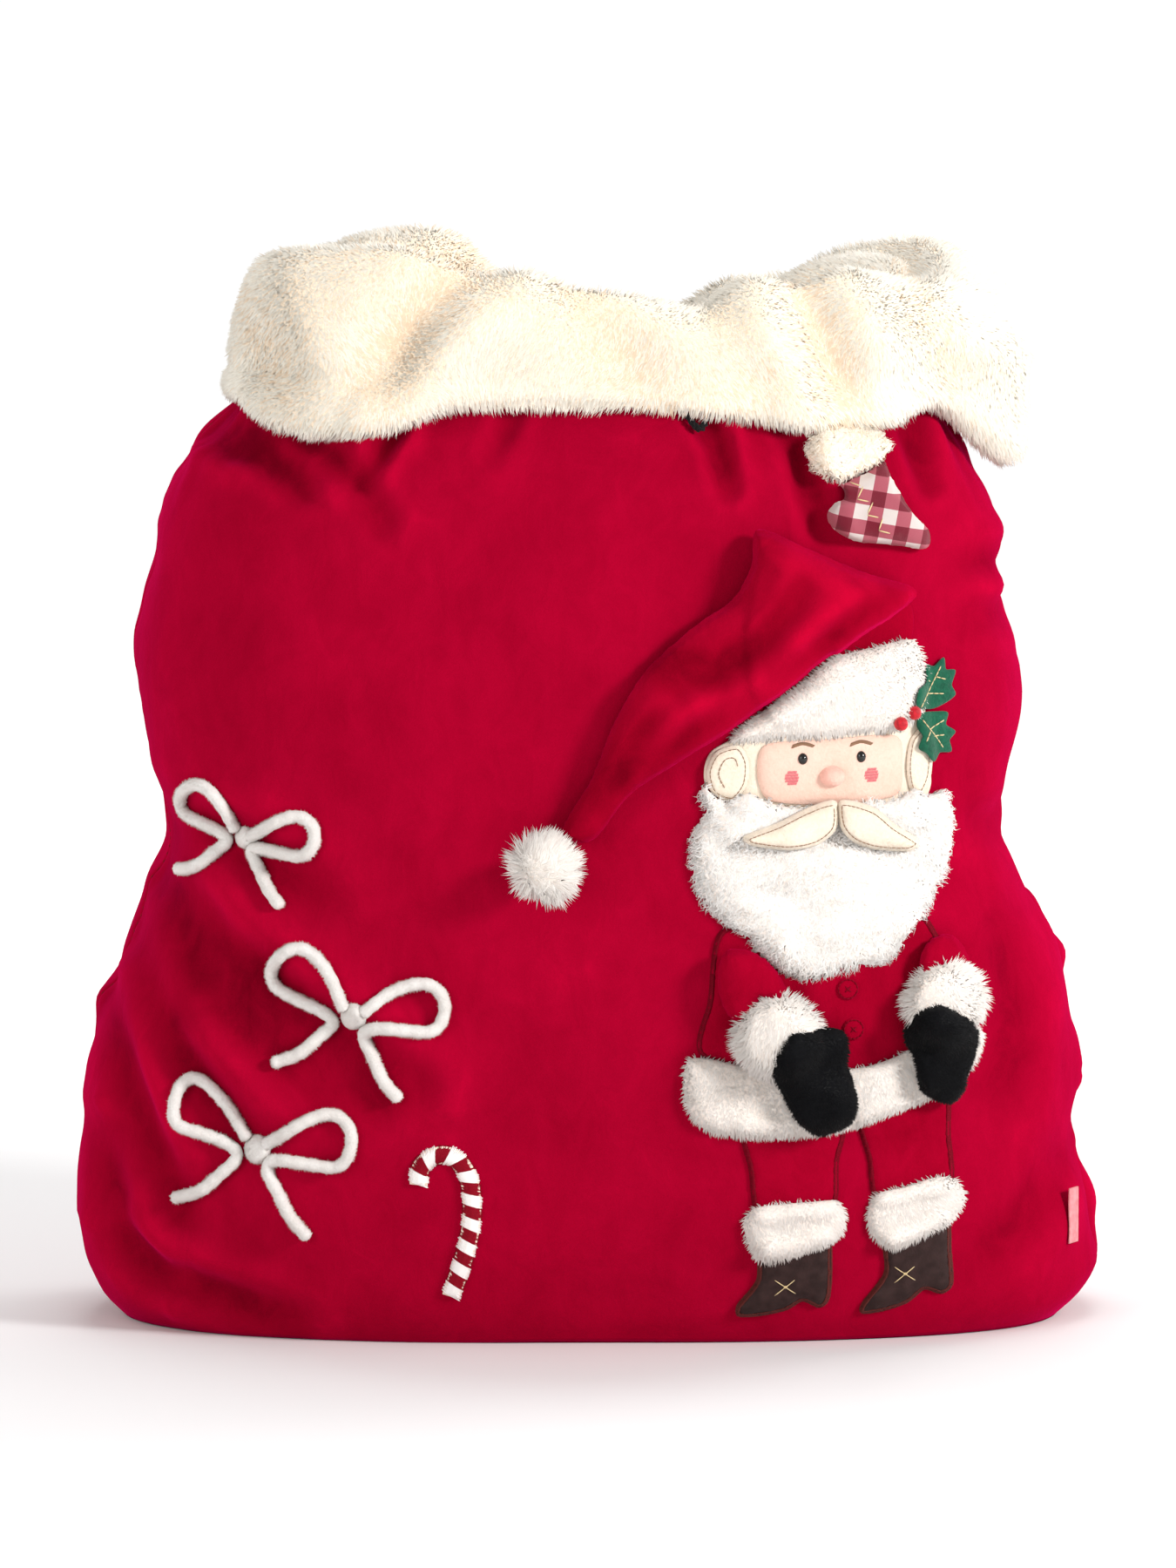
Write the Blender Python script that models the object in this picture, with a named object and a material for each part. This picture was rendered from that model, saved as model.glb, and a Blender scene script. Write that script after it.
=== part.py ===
"""Fabric gift sack: velvet panels, lining, folded fur cuff and applique figure, each sewn piece its own solid."""

import math

import bmesh
import bpy
from mathutils import Matrix, Vector
from mathutils.geometry import delaunay_2d_cdt

for old in list(bpy.data.objects):
    bpy.data.objects.remove(old, do_unlink=True)

MM = 0.001
# The frame: X to the right, -Y to the front, Z up, the underside of the base at z = 0.
# Half widths and half depths of the stuffed bag at each height, in millimetres.
HALF_LEFT = ((0, 243), (12, 254), (28, 259.5), (60, 263), (120, 262), (165, 255), (200, 240), (256, 223.5),
             (300, 232), (335, 235), (370, 231), (415, 223), (445, 212), (465, 199), (482, 178), (500, 157))
HALF_RIGHT = ((0, 249), (12, 259), (28, 263), (60, 262), (100, 256), (150, 257), (190, 251), (225, 234),
              (256, 218), (290, 223), (325, 228), (370, 220), (405, 217), (445, 203), (465, 193), (482, 183), (500, 174))
HALF_FRONT = ((0, 104), (12, 113), (28, 120), (60, 129), (120, 136), (200, 139), (280, 136), (350, 130),
              (400, 123), (440, 112), (465, 101), (482, 91), (500, 83))
HALF_BACK = ((0, 102), (12, 110), (28, 116), (60, 123), (120, 128), (200, 129), (280, 125), (350, 119),
             (400, 113), (440, 105), (465, 96), (482, 88), (500, 82))
SQUARENESS = 2.6
PANEL_TOP = 500.0
PANEL_THICK = 4.0
LINING_THICK = 1.2
BASE_THICK = 3.6
GAP = 0.4
PANEL_GAP = 0.7
SHEET_STEP = 9.0


def table(rows, z):
    """Smooth reading of a table: cubic between the rows with the slopes of their neighbours."""
    if z <= rows[0][0]:
        return rows[0][1]
    if z >= rows[-1][0]:
        return rows[-1][1]
    for i in range(len(rows) - 1):
        z0, v0 = rows[i]
        z1, v1 = rows[i + 1]
        if z <= z1:
            before = rows[max(i - 1, 0)]
            after = rows[min(i + 2, len(rows) - 1)]
            m0 = (v1 - before[1]) / max(z1 - before[0], 1e-6)
            m1 = (after[1] - v0) / max(after[0] - z0, 1e-6)
            h = z1 - z0
            t = (z - z0) / h
            return (v0 * (1 + 2 * t) * (1 - t) ** 2 + v1 * t * t * (3 - 2 * t)
                    + h * m0 * t * (1 - t) ** 2 + h * m1 * t * t * (t - 1))
    return rows[-1][1]


def front_y(x, z):
    """The Y of the outer face of the front panel."""
    a = table(HALF_LEFT if x < 0 else HALF_RIGHT, z)
    q = min(1.0, abs(x) / a)
    return -table(HALF_FRONT, z) * (1 - q ** SQUARENESS) ** (1 / SQUARENESS)


def ring_point(angle, z, inward=0.0):
    """A point of the bag's outer skin at this angle round the bag (0 right, 90 back), moved inward by so much."""
    c, s = math.cos(angle), math.sin(angle)
    a = table(HALF_RIGHT if c > 0 else HALF_LEFT, z) - inward
    b = table(HALF_BACK if s > 0 else HALF_FRONT, z) - inward
    e = 2 / SQUARENESS
    return (a * math.copysign(abs(c) ** e, c), b * math.copysign(abs(s) ** e, s))


def even_angles(start, end, count, z=250.0):
    """Angles from start to end that are evenly spaced along the skin."""
    fine = [start + (end - start) * i / 720 for i in range(721)]
    points = [ring_point(a, z) for a in fine]
    run = [0.0]
    for p, q in zip(points, points[1:]):
        run.append(run[-1] + math.dist(p, q))
    found, k = [], 0
    for i in range(count + 1):
        want = run[-1] * i / count
        while k < 719 and run[k + 1] < want:
            k += 1
        t = (want - run[k]) / max(run[k + 1] - run[k], 1e-9)
        found.append(fine[k] + (fine[k + 1] - fine[k]) * t)
    return found


def material(name, colour, rough, **more):
    made = bpy.data.materials.new(name)
    made.use_nodes = True
    shader = made.node_tree.nodes["Principled BSDF"]
    shader.inputs["Base Color"].default_value = (*colour, 1)
    shader.inputs["Roughness"].default_value = rough
    for key, value in more.items():
        shader.inputs[key.replace("_", " ")].default_value = value
    made.diffuse_color = (*colour, 1)
    return made


def add(name, verts, faces, colour, rough=0.9, smooth=True):
    """A named object from millimetre points, its faces turned to face out."""
    mesh = bpy.data.meshes.new(name)
    mesh.from_pydata([tuple(c * MM for c in v) for v in verts], [], faces)
    bm = bmesh.new()
    bm.from_mesh(mesh)
    bmesh.ops.remove_doubles(bm, verts=bm.verts, dist=2e-6)
    bmesh.ops.triangulate(bm, faces=bm.faces)
    bmesh.ops.recalc_face_normals(bm, faces=bm.faces)
    if bm.calc_volume(signed=True) < 0:
        bmesh.ops.reverse_faces(bm, faces=bm.faces)
    bm.to_mesh(mesh)
    bm.free()
    for polygon in mesh.polygons:
        polygon.use_smooth = smooth
    obj = bpy.data.objects.new(name, mesh)
    bpy.context.scene.collection.objects.link(obj)
    mesh.materials.append(material(name, colour, rough, Sheen_Weight=0.6))
    return obj


def hang(name, objects, place):
    """An empty on the joint axis, with the pieces that move with it as children."""
    empty = bpy.data.objects.new(name, None)
    empty.empty_display_size = 0.02
    bpy.context.scene.collection.objects.link(empty)
    empty.location = [c * MM for c in place]
    bpy.context.view_layer.update()
    for obj in objects:
        obj.parent = empty
        obj.matrix_parent_inverse = Matrix.Translation(-empty.location)
    return empty


def grid_faces(rows, columns, closed=False):
    faces = []
    for r in range(rows - 1):
        for c in range(columns if closed else columns - 1):
            d = (c + 1) % columns
            faces.append((r * columns + c, r * columns + d, (r + 1) * columns + d, (r + 1) * columns + c))
    return faces


# ---------------------------------------------------------------- wall panels, base and lining
def wall(name, start, end, columns, heights, colour):
    """Half of the wall: an outer and an inner skin joined round their edge."""
    angles = even_angles(start, end, columns)
    outer, inner = [], []
    for z in heights:
        for a in angles:
            outer.append((*ring_point(a, z), z))
            inner.append((*ring_point(a, z, PANEL_THICK), z))
    rows, across = len(heights), len(angles)
    verts = outer + inner
    n = len(outer)
    faces = grid_faces(rows, across) + [tuple(n + i for i in f) for f in grid_faces(rows, across)]
    for c in range(across - 1):
        top = (rows - 1) * across
        faces.append((c, c + 1, n + c + 1, n + c))
        faces.append((top + c, top + c + 1, n + top + c + 1, n + top + c))
    for r in range(rows - 1):
        for c in (0, across - 1):
            i, j = r * across + c, (r + 1) * across + c
            faces.append((i, j, n + j, n + i))
    return add(name, verts, faces, colour)


SEAM = 0.25 / 240  # half of the gap at each side seam, as an angle along the skin
FRONT_HEIGHTS = (0, 6, 14, 28, 46, 68, 92, 118, 145, 168, 190, 212, 224, 234, 245, 256, 267, 278, 290, 302, 326, 350, 374,
                 396, 416, 434, 448, 460, 471, 482, 488, 494, PANEL_TOP)
BACK_HEIGHTS = (0, 6, 14, 28, 46, 68, 118, 168, 212, 234, 256, 278, 302, 350, 396, 434, 460, 471, 482, 488, 494, PANEL_TOP)
SEAM_ANGLE = 0.0009
front_panel = wall("front_panel", -math.pi + SEAM_ANGLE, -SEAM_ANGLE, 30, FRONT_HEIGHTS, (0.42, 0.0, 0.03))
back_panel = wall("back_panel", SEAM_ANGLE, math.pi - SEAM_ANGLE, 24, BACK_HEIGHTS, (0.40, 0.0, 0.03))


FRONT_ANGLES = even_angles(-math.pi + SEAM_ANGLE, -SEAM_ANGLE, 30)
BACK_ANGLES = even_angles(SEAM_ANGLE, math.pi - SEAM_ANGLE, 24)


def closed_ring(every=1):
    """The angles of the wall panels' own columns, all the way round, so that nested rings keep their gaps."""
    return [-math.pi] + FRONT_ANGLES[every:-1:every] + [0.0] + BACK_ANGLES[every:-1:every]


def base():
    """The base: a flat oval let in inside the lower edge of the wall panels."""
    angles = closed_ring()
    verts, faces = [], []
    for z in (0.0, BASE_THICK):
        verts += [(*ring_point(a, z, PANEL_THICK + GAP), z) for a in angles]
    verts += [(0, 0, 0), (0, 0, BASE_THICK)]
    n = len(angles)
    for c in range(n):
        d = (c + 1) % n
        faces += [(c, d, n + d, n + c), (d, c, 2 * n), (n + c, n + d, 2 * n + 1)]
    return add("base_panel", verts, faces, (0.34, 0.0, 0.025))


base_panel = base()


def lining_bag():
    """The lining: a thin open bag, its floor on the base and its wall inside the panels."""
    angles = closed_ring(2)
    n = len(angles)
    floor = BASE_THICK + GAP
    heights = (floor, 14, 46, 118, 168, 212, 234, 256, 278, 302, 350, 396, 434, 460, 482, PANEL_TOP - 2)
    verts, rings = [], []
    for depth, low in ((PANEL_THICK + 2.4, 0.0), (PANEL_THICK + 2.4 + LINING_THICK, LINING_THICK)):
        for z in heights:
            at = z + low if z == floor else z
            verts += [(*ring_point(a, z, depth), at) for a in angles]
    rows = len(heights)
    faces = grid_faces(rows, n, True) + [tuple(rows * n + i for i in f) for f in grid_faces(rows, n, True)]
    for c in range(n):
        d = (c + 1) % n
        top = (rows - 1) * n
        faces.append((top + c, top + d, rows * n + top + d, rows * n + top + c))
    verts += [(0, 0, floor), (0, 0, floor + LINING_THICK)]
    for c in range(n):
        d = (c + 1) % n
        faces += [(c, d, 2 * rows * n), (rows * n + c, rows * n + d, 2 * rows * n + 1)]
    return add("lining", verts, faces, (0.30, 0.01, 0.03))


lining = lining_bag()

# ---------------------------------------------------------------- fur cuff and drawcord
CORD_RADIUS = 2.25
CORD_HEIGHT = 488.0
CORD_OUT = 4.7  # the wall slopes in towards the mouth, so the cord's middle stands off it by more than its radius
CHANNEL = CORD_OUT + CORD_RADIUS + 1.4
# Round the mouth, in degrees (0 right, 90 back, 180 left, 270 front): height of the fold, of the
# hem that hangs outside, how far the roll stands out, and how far the top leans in or out.
CUFF_TOP = ((0, 556), (20, 561), (40, 556), (52, 541), (61, 540), (70, 524), (80, 517), (98, 517), (104, 529), (110, 543),
            (118, 555), (135, 557), (150, 560), (160, 560), (172, 552), (182, 545), (192, 545), (205, 551), (222, 556), (234, 557),
            (246, 553), (258, 550), (272, 548), (283, 541), (292, 531), (297, 537), (302, 545), (312, 548), (325, 545), (335, 545),
            (345, 548), (360, 556))
CUFF_HEM = ((0, 453), (20, 462), (40, 474), (60, 480), (90, 478), (120, 474), (150, 476), (175, 484), (190, 485), (205, 481),
            (218, 474), (229, 471), (240, 479), (250, 491), (262, 489), (270, 483), (285, 480), (300, 480), (312, 482), (322, 480),
            (331, 470), (342, 455), (352, 449), (360, 453))
CUFF_OUT = ((0, 40), (20, 37), (40, 30), (60, 26), (90, 24), (120, 25), (150, 27), (180, 27), (200, 29), (225, 27), (250, 22),
            (270, 21), (300, 22), (325, 26), (340, 35), (350, 40), (360, 40))
CUFF_LEAN = ((0, 8), (30, 5), (60, 0), (90, -3), (120, -2), (150, 2), (180, 2), (210, 5), (240, 0), (270, -2), (300, -2),
             (330, 4), (345, 8), (360, 8))
# One section of the cuff: (share of the height from hem to top, share of the roll's width).
CUFF_SECTION = ((0.0, 0.42), (0.05, 0.74), (0.16, 0.95), (0.34, 1.0), (0.55, 0.97), (0.74, 0.88), (0.88, 0.70), (0.97, 0.45), (1.0, 0.18),
                (0.965, -0.12), (0.88, -0.30))


def cuff():
    angles = even_angles(0, 2 * math.pi, 72)[:-1]
    verts = []
    for a in angles:
        # the angle as seen from the middle of the mouth
        px, py = ring_point(a, PANEL_TOP)
        degree = math.degrees(math.atan2(py * 1.75, px)) % 360
        top, hem = table(CUFF_TOP, degree), table(CUFF_HEM, degree)
        out, lean = table(CUFF_OUT, degree), table(CUFF_LEAN, degree)

        def put(distance, z):
            x, y = ring_point(a, min(z, PANEL_TOP), -distance)
            return (x, y, z)

        for rise, share in CUFF_SECTION:
            z = hem + (top - hem) * rise
            over = max(0.0, (z - PANEL_TOP) / 50)
            hug = min(1.0, max(0.0, (PANEL_TOP + 8 - z) / 30))
            distance = out * share + lean * over
            verts.append(put(max(distance, CHANNEL + 1.2 if z < PANEL_TOP else -9), z))
        verts.append(put(-7.5, PANEL_TOP + 9))
        verts.append(put(-6.5, PANEL_TOP + 0.8))
        verts.append(put(0.5, PANEL_TOP + 0.8))
        verts.append(put(CHANNEL * 0.25, PANEL_TOP - 2.5))
        verts.append(put(CHANNEL, PANEL_TOP - 6))
        verts.append(put(CHANNEL, (PANEL_TOP - 6 + hem) / 2 + 1.5))
    count = len(CUFF_SECTION) + 6
    faces = []
    for c in range(72):
        d = (c + 1) % 72
        for i in range(count):
            j = (i + 1) % count
            faces.append((c * count + i, c * count + j, d * count + j, d * count + i))
    return add("fur_cuff", verts, faces, (0.86, 0.82, 0.72), 0.95)


fur_cuff = cuff()


def tube(path, radius, sides, closed=False, flat=1.0):
    """Points and faces of a round bar along a path, with rounded ends when it is open."""
    points = [Vector(p) for p in path]
    count = len(points)
    verts, faces = [], []
    normal = None
    for i, p in enumerate(points):
        if closed:
            along = points[(i + 1) % count] - points[i - 1]
        else:
            along = points[min(i + 1, count - 1)] - points[max(i - 1, 0)]
        along.normalize()
        lead = Vector((0, -1, 0)) if abs(along.y) < 0.9 else Vector((0, 0, 1))
        if normal is None:
            normal = (lead - along * lead.dot(along)).normalized()
        normal = (normal - along * normal.dot(along)).normalized()
        side = along.cross(normal)
        r = radius(i / max(count - 1, 1)) if callable(radius) else radius
        for k in range(sides):
            t = 2 * math.pi * k / sides
            verts.append(tuple(p + normal * (r * math.cos(t) * flat) + side * (r * math.sin(t))))
    for i in range(count if closed else count - 1):
        j = (i + 1) % count
        for k in range(sides):
            m = (k + 1) % sides
            faces.append((i * sides + k, i * sides + m, j * sides + m, j * sides + k))
    if not closed:
        faces.append(tuple(range(sides)))
        faces.append(tuple((count - 1) * sides + k for k in range(sides)))
    return verts, faces


def drawcord_ring():
    """The cord follows the wall's own facets, with one short stretch pulled down into sight at the front."""
    ring = closed_ring()
    path = []
    for i, a in enumerate(ring):
        b = ring[(i + 1) % len(ring)]
        near_dip = a < 0 and 30 < ring_point(a, 480)[0] < 95
        for t in (0.0, 0.25, 0.5, 0.75) if near_dip else (0.0,):
            def at(z, angle):
                return ring_point(angle, z, -CORD_OUT)
            z = CORD_HEIGHT
            x = at(z, a)[0] * (1 - t) + at(z, b)[0] * t
            if a < 0:
                z -= 14.0 * math.exp(-(((x - 60) / 11) ** 2))
            (x0, y0), (x1, y1) = at(z, a), at(z, b)
            path.append((x0 * (1 - t) + x1 * t, y0 * (1 - t) + y1 * t, z))
    return add("drawcord", *tube(path, CORD_RADIUS, 7, True), (0.012, 0.012, 0.014), 0.7)


drawcord = drawcord_ring()

# ---------------------------------------------------------------- sewn-on pieces, built on the front panel
PIECES = {}  # name -> (outline, function that gives the height of its top face)


def smooth_outline(corners, step=4.0, corner_angle=None):
    """A closed curve through the corners, with points at about this spacing."""
    n = len(corners)
    found = []
    for i in range(n):
        p0, p1, p2, p3 = (Vector(corners[(i + k) % n]) for k in (-1, 0, 1, 2))
        length = (p2 - p1).length
        parts = max(1, round(length / step))
        for k in range(parts):
            t = k / parts
            m1, m2 = (p2 - p0) * 0.42, (p3 - p1) * 0.42
            limit = length * 0.9
            m1 = m1 * min(1, limit / max(m1.length, 1e-6))
            m2 = m2 * min(1, limit / max(m2.length, 1e-6))
            found.append(tuple(p1 * (1 + 2 * t) * (1 - t) ** 2 + p2 * t * t * (3 - 2 * t)
                               + m1 * t * (1 - t) ** 2 + m2 * t * t * (t - 1)))
    return found


def inside(point, outline):
    x, z = point
    found = False
    for (x0, z0), (x1, z1) in zip(outline, outline[1:] + outline[:1]):
        if (z0 > z) != (z1 > z) and x < (x1 - x0) * (z - z0) / (z1 - z0) + x0:
            found = not found
    return found


def from_edge(point, outline):
    """How far the point is from the outline."""
    x, z = point
    best = 1e9
    for (x0, z0), (x1, z1) in zip(outline, outline[1:] + outline[:1]):
        dx, dz = x1 - x0, z1 - z0
        t = max(0.0, min(1.0, ((x - x0) * dx + (z - z0) * dz) / max(dx * dx + dz * dz, 1e-9)))
        best = min(best, math.hypot(x - x0 - t * dx, z - z0 - t * dz))
    return best


def top_of(names, x, z, reach):
    """The highest top face of these pieces near a place: what lies over them has to clear it."""
    highest = 0.0
    for name in names:
        outline, top = PIECES[name]
        for radius in (0.0, reach * 0.5, reach):
            for k in range(8 if radius else 1):
                t = math.pi * k / 4
                place = (x + radius * math.cos(t), z + radius * math.sin(t))
                if inside(place, outline):
                    highest = max(highest, top(*place))
    return highest


def plate(name, outline, edge, middle, colour, under=(), width=10.0, step=SHEET_STEP, reach=9.0, lift=0.0, rough=0.9,
          register=True, least=0.0, taper=None):
    """A sewn-on piece: flat underneath against what it lies on, its top swelling from `edge` to `middle` thick."""
    edge_points = len(outline)
    x0, x1 = min(p[0] for p in outline), max(p[0] for p in outline)
    z0, z1 = min(p[1] for p in outline), max(p[1] for p in outline)
    coords = [Vector(p) for p in outline]
    row = 0
    z = z0 + step * 0.5
    while z < z1:
        x = x0 + (step * 0.25 if row % 2 else step * 0.75)
        while x < x1:
            if inside((x, z), outline) and from_edge((x, z), outline) > min(step * 0.42, 3.2):
                coords.append(Vector((x, z)))
            x += step
        z += step * 0.87
        row += 1
    # a ring just inside the edge carries the rounding of the swell
    points, _, triangles, _, _, _ = delaunay_2d_cdt(coords, [], [list(range(edge_points))], 1, 1e-6)

    def thick(x, z):
        d = min(from_edge((x, z), outline), width) / width
        t = edge + (middle - edge) * math.sqrt(max(0.0, 1 - (1 - d) ** 2))
        return t * (taper(x, z) if taper else 1.0)

    def low(x, z):
        h = top_of(under, x, z, reach)
        return max(h + GAP if h else PANEL_GAP, least) + lift

    def top(x, z):
        return low(x, z) + thick(x, z)

    if register:
        PIECES[name] = (outline, top)
    n = len(points)
    lows, tops = [], []
    for p in points:
        y, base_low = front_y(p.x, p.y), low(p.x, p.y)
        lows.append((p.x, y - base_low, p.y))
        tops.append((p.x, y - base_low - thick(p.x, p.y), p.y))
    faces = [tuple(t) for t in triangles] + [tuple(n + i for i in t) for t in triangles]
    count = {}
    for t in triangles:
        for i in range(len(t)):
            a, b = t[i], t[(i + 1) % len(t)]
            count[(min(a, b), max(a, b))] = count.get((min(a, b), max(a, b)), 0) + 1
    faces += [(a, b, n + b, n + a) for (a, b), times in count.items() if times == 1]
    return add(name, lows + tops, faces, colour, rough)


def circle(cx, cz, rx, rz=None, count=18, turn=0.0):
    rz = rz or rx
    found = []
    for k in range(count):
        t = 2 * math.pi * k / count
        x, z = rx * math.cos(t), rz * math.sin(t)
        found.append((cx + x * math.cos(turn) - z * math.sin(turn), cz + x * math.sin(turn) + z * math.cos(turn)))
    return found


def push_out(outline, cx, cz, radius):
    """Bites a circle out of an outline: the points inside it give way to the arc that faces the rest of the outline."""
    n = len(outline)
    kept = [math.hypot(x - cx, z - cz) >= radius for x, z in outline]
    if all(kept):
        return outline
    start = next(i for i in range(n) if kept[i] and not kept[i - 1])
    turned = [outline[(start + i) % n] for i in range(n)]
    found = []
    for x, z in turned:
        if math.hypot(x - cx, z - cz) < radius:
            break
        found.append((x, z))
    rest = [p for p in turned[len(found):] if math.hypot(p[0] - cx, p[1] - cz) >= radius]
    found = found + rest if rest and len(rest) > 3 else found
    first = math.atan2(found[-1][1] - cz, found[-1][0] - cx)
    last = math.atan2(found[0][1] - cz, found[0][0] - cx)
    mx, mz = sum(p[0] for p in found) / len(found), sum(p[1] for p in found) / len(found)
    facing = math.atan2(mz - cz, mx - cx)
    ahead = (last - first) % (2 * math.pi)
    turn = ahead if (facing - first) % (2 * math.pi) < ahead else ahead - 2 * math.pi
    parts = max(2, round(abs(turn) * radius / 4))
    for k in range(1, parts):
        t = first + turn * k / parts
        found.append((cx + radius * math.cos(t), cz + radius * math.sin(t)))
    return found


CREAM = (0.86, 0.82, 0.72)
RED = (0.45, 0.0, 0.03)
WHITE = (0.88, 0.84, 0.80)
FLEECE = (0.72, 0.60, 0.45)

# head and face
HEAD = [(64, 294), (62, 304), (66, 313), (81, 321), (104, 333), (130, 346), (168, 352), (174, 338), (176, 311), (178, 291),
        (170, 280), (86, 284)]
plate("head_panel", smooth_outline(HEAD, 6), 1.6, 3.0, FLEECE, step=11)
FACE = [(93, 316), (126, 318), (160, 318), (163, 302), (160, 288), (128, 285), (95, 288), (89, 301)]
plate("face_panel", smooth_outline(FACE), 1.2, 2.6, (0.74, 0.44, 0.33), under=("head_panel",), step=8)
EYE_X, EYE_Z, EYE_RADIUS = 15.0, 309.0, 2.4
FACE_MIDDLE = 127.0
for side, name in ((-1, "eye_left"), (1, "eye_right")):
    plate(name, circle(FACE_MIDDLE + side * EYE_X, EYE_Z, EYE_RADIUS, 3.0, 10), 0.8, 1.8, (0.01, 0.01, 0.01),
          under=("head_panel", "face_panel"), width=2.4, step=2, reach=3, rough=0.3)
plate("nose", circle(FACE_MIDDLE, 299.5, 6.5, 5.2, 12), 1.4, 6.0, (0.72, 0.33, 0.26), under=("head_panel", "face_panel"),
      width=5.5, step=3, reach=4)
plate("ear_left", smooth_outline([(66, 292), (63, 303), (68, 313), (79, 316), (84, 308), (83, 296), (76, 288)], 4), 2.0, 7.0,
      WHITE, under=("head_panel", "face_panel"), width=8, step=6, reach=5)
plate("ear_right", smooth_outline([(168, 290), (166, 302), (168, 316), (175, 322), (179, 312), (178, 296), (174, 288)], 4), 2.0, 6.0,
      WHITE, under=("head_panel", "face_panel"), width=6, step=5, reach=6, lift=0.3)

# coat, legs and boots
COAT = [(70, 219), (94, 226), (130, 228), (171, 226), (184, 208), (194, 189), (201, 166), (168, 152), (130, 146), (62, 156),
        (65, 185)]
plate("coat", smooth_outline(COAT, 6), 1.8, 3.4, RED, step=12)
HEM = [(54, 153), (65, 154), (81, 150), (105, 147), (130, 147), (148, 149), (166, 155), (184, 162), (198, 166), (205, 162),
       (202, 149), (194, 139), (180, 132), (166, 127), (135, 117), (104, 114), (68, 116), (57, 123), (52, 138)]
for number, (x, z) in enumerate(((135.5, 190), (138.5, 169)), 1):
    plate(f"button_{number}", circle(x, z, 6.0, 6.0, 14), 0.7, 1.6, (0.30, 0.0, 0.02), under=("coat",), width=4, step=4, reach=4)
plate("trouser_left", smooth_outline([(82, 121), (108, 121), (133, 121), (130, 99), (128, 75), (108, 73), (90, 72), (86, 96)]), 1.4, 2.6,
      RED, step=8)
plate("trouser_right", smooth_outline([(142, 125), (164, 130), (186, 135), (188, 110), (189, 84), (170, 81), (151, 79), (147, 100)]), 1.4,
      2.6, RED, step=8)
plate("coat_hem", smooth_outline(HEM), 3.0, 11.0, CREAM, under=("coat", "trouser_left", "trouser_right"), width=13)
plate("boot_left", smooth_outline([(92, 55), (110, 59), (125, 62), (127, 42), (126, 26), (122, 21), (113, 25), (104, 20), (90, 17), (80, 17),
                                   (80, 22), (90, 36)]), 2.0, 6.0, (0.05, 0.025, 0.02), rough=0.5, width=9, step=8)
plate("boot_right", smooth_outline([(156, 58), (172, 63), (187, 68), (189, 48), (190, 30), (185, 26), (176, 29), (167, 22), (155, 18), (144, 17),
                                    (145, 22), (156, 38)]), 2.0, 6.0, (0.05, 0.025, 0.02), rough=0.5, width=9, step=8)
plate("boot_cuff_left", smooth_outline([(83, 66), (88, 75), (100, 77), (116, 78), (130, 78), (134, 69), (131, 60), (117, 54), (100, 49), (89, 50)]),
      3.0, 9.0, CREAM, under=("trouser_left", "boot_left"), width=11, step=8)
plate("boot_cuff_right", smooth_outline([(147, 71), (152, 81), (166, 84), (182, 88), (191, 86), (196, 77), (191, 67), (176, 60), (159, 53), (149, 60)]),
      3.0, 9.0, CREAM, under=("trouser_right", "boot_right"), width=11, step=8)

# beard and moustache
BEARD = [(61, 294), (64, 283), (58, 271), (57, 256), (61, 241), (73, 227), (89, 217), (98, 205), (115, 198), (134, 203), (153, 205),
         (165, 217), (176, 233), (187, 254), (188, 271), (184, 286), (176, 284), (170, 290), (160, 284), (145, 283), (130, 281),
         (112, 282), (94, 286), (84, 291), (72, 286)]
plate("beard", smooth_outline(BEARD, 5), 3.5, 13.0, WHITE, under=("head_panel", "face_panel", "coat", "ear_left", "ear_right"), width=20,
      reach=8)
plate("moustache_left", smooth_outline([(128.5, 287), (115, 284), (99, 277), (82, 271), (86, 267), (104, 264), (120, 266), (129, 274)], 4), 2.0,
      8.0, WHITE, under=("head_panel", "face_panel", "beard"), width=9, step=6, reach=5)
plate("moustache_right", smooth_outline([(131.5, 287), (148, 283), (159, 274), (172, 264), (167, 260), (150, 262), (138, 267), (131.5, 275)], 4),
      2.0, 8.0, WHITE, under=("head_panel", "face_panel", "beard"), width=9, step=6, reach=5)

# hat
CROWN = [(93, 417), (130, 402), (166, 386), (167, 364), (152, 352), (140, 348), (118, 336), (100, 330), (88, 345), (84, 378)]
plate("hat_crown", smooth_outline(CROWN), 1.6, 2.6, (0.36, 0.0, 0.025), under=("head_panel",))
BRIM = [(76, 319.5), (80, 324), (93, 333.5), (110, 345), (127, 358.5), (150, 363.5), (168, 366), (173, 356), (174.5, 343), (171, 330), (162, 322.5),
        (144, 322.5), (121, 321), (98, 320.5), (86, 319.5)]
plate("hat_brim", smooth_outline(BRIM), 3.0, 13.0, CREAM, under=("head_panel", "face_panel", "hat_crown", "eye_left", "eye_right"), width=13,
      reach=7)
plate("holly_leaf_upper", smooth_outline([(171, 334), (172, 342), (176, 345), (176, 353), (180, 352), (185, 356), (186, 350), (191, 349), (189, 342),
                                          (191, 337), (185, 333), (178, 331)], 2.5), 0.9, 1.5, (0.0, 0.075, 0.03),
      under=("head_panel", "hat_brim", "ear_right"), width=3, step=5, reach=5)
plate("holly_leaf_lower", smooth_outline([(173, 329), (180, 329), (187, 328), (186, 322), (191, 318), (188, 314), (189, 308), (183, 308), (180, 304),
                                          (176, 309), (172, 312), (174, 318), (171, 323)], 2.5), 0.9, 1.5, (0.0, 0.07, 0.03),
      under=("head_panel", "hat_brim", "ear_right"), width=3, step=5, reach=5)


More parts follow.
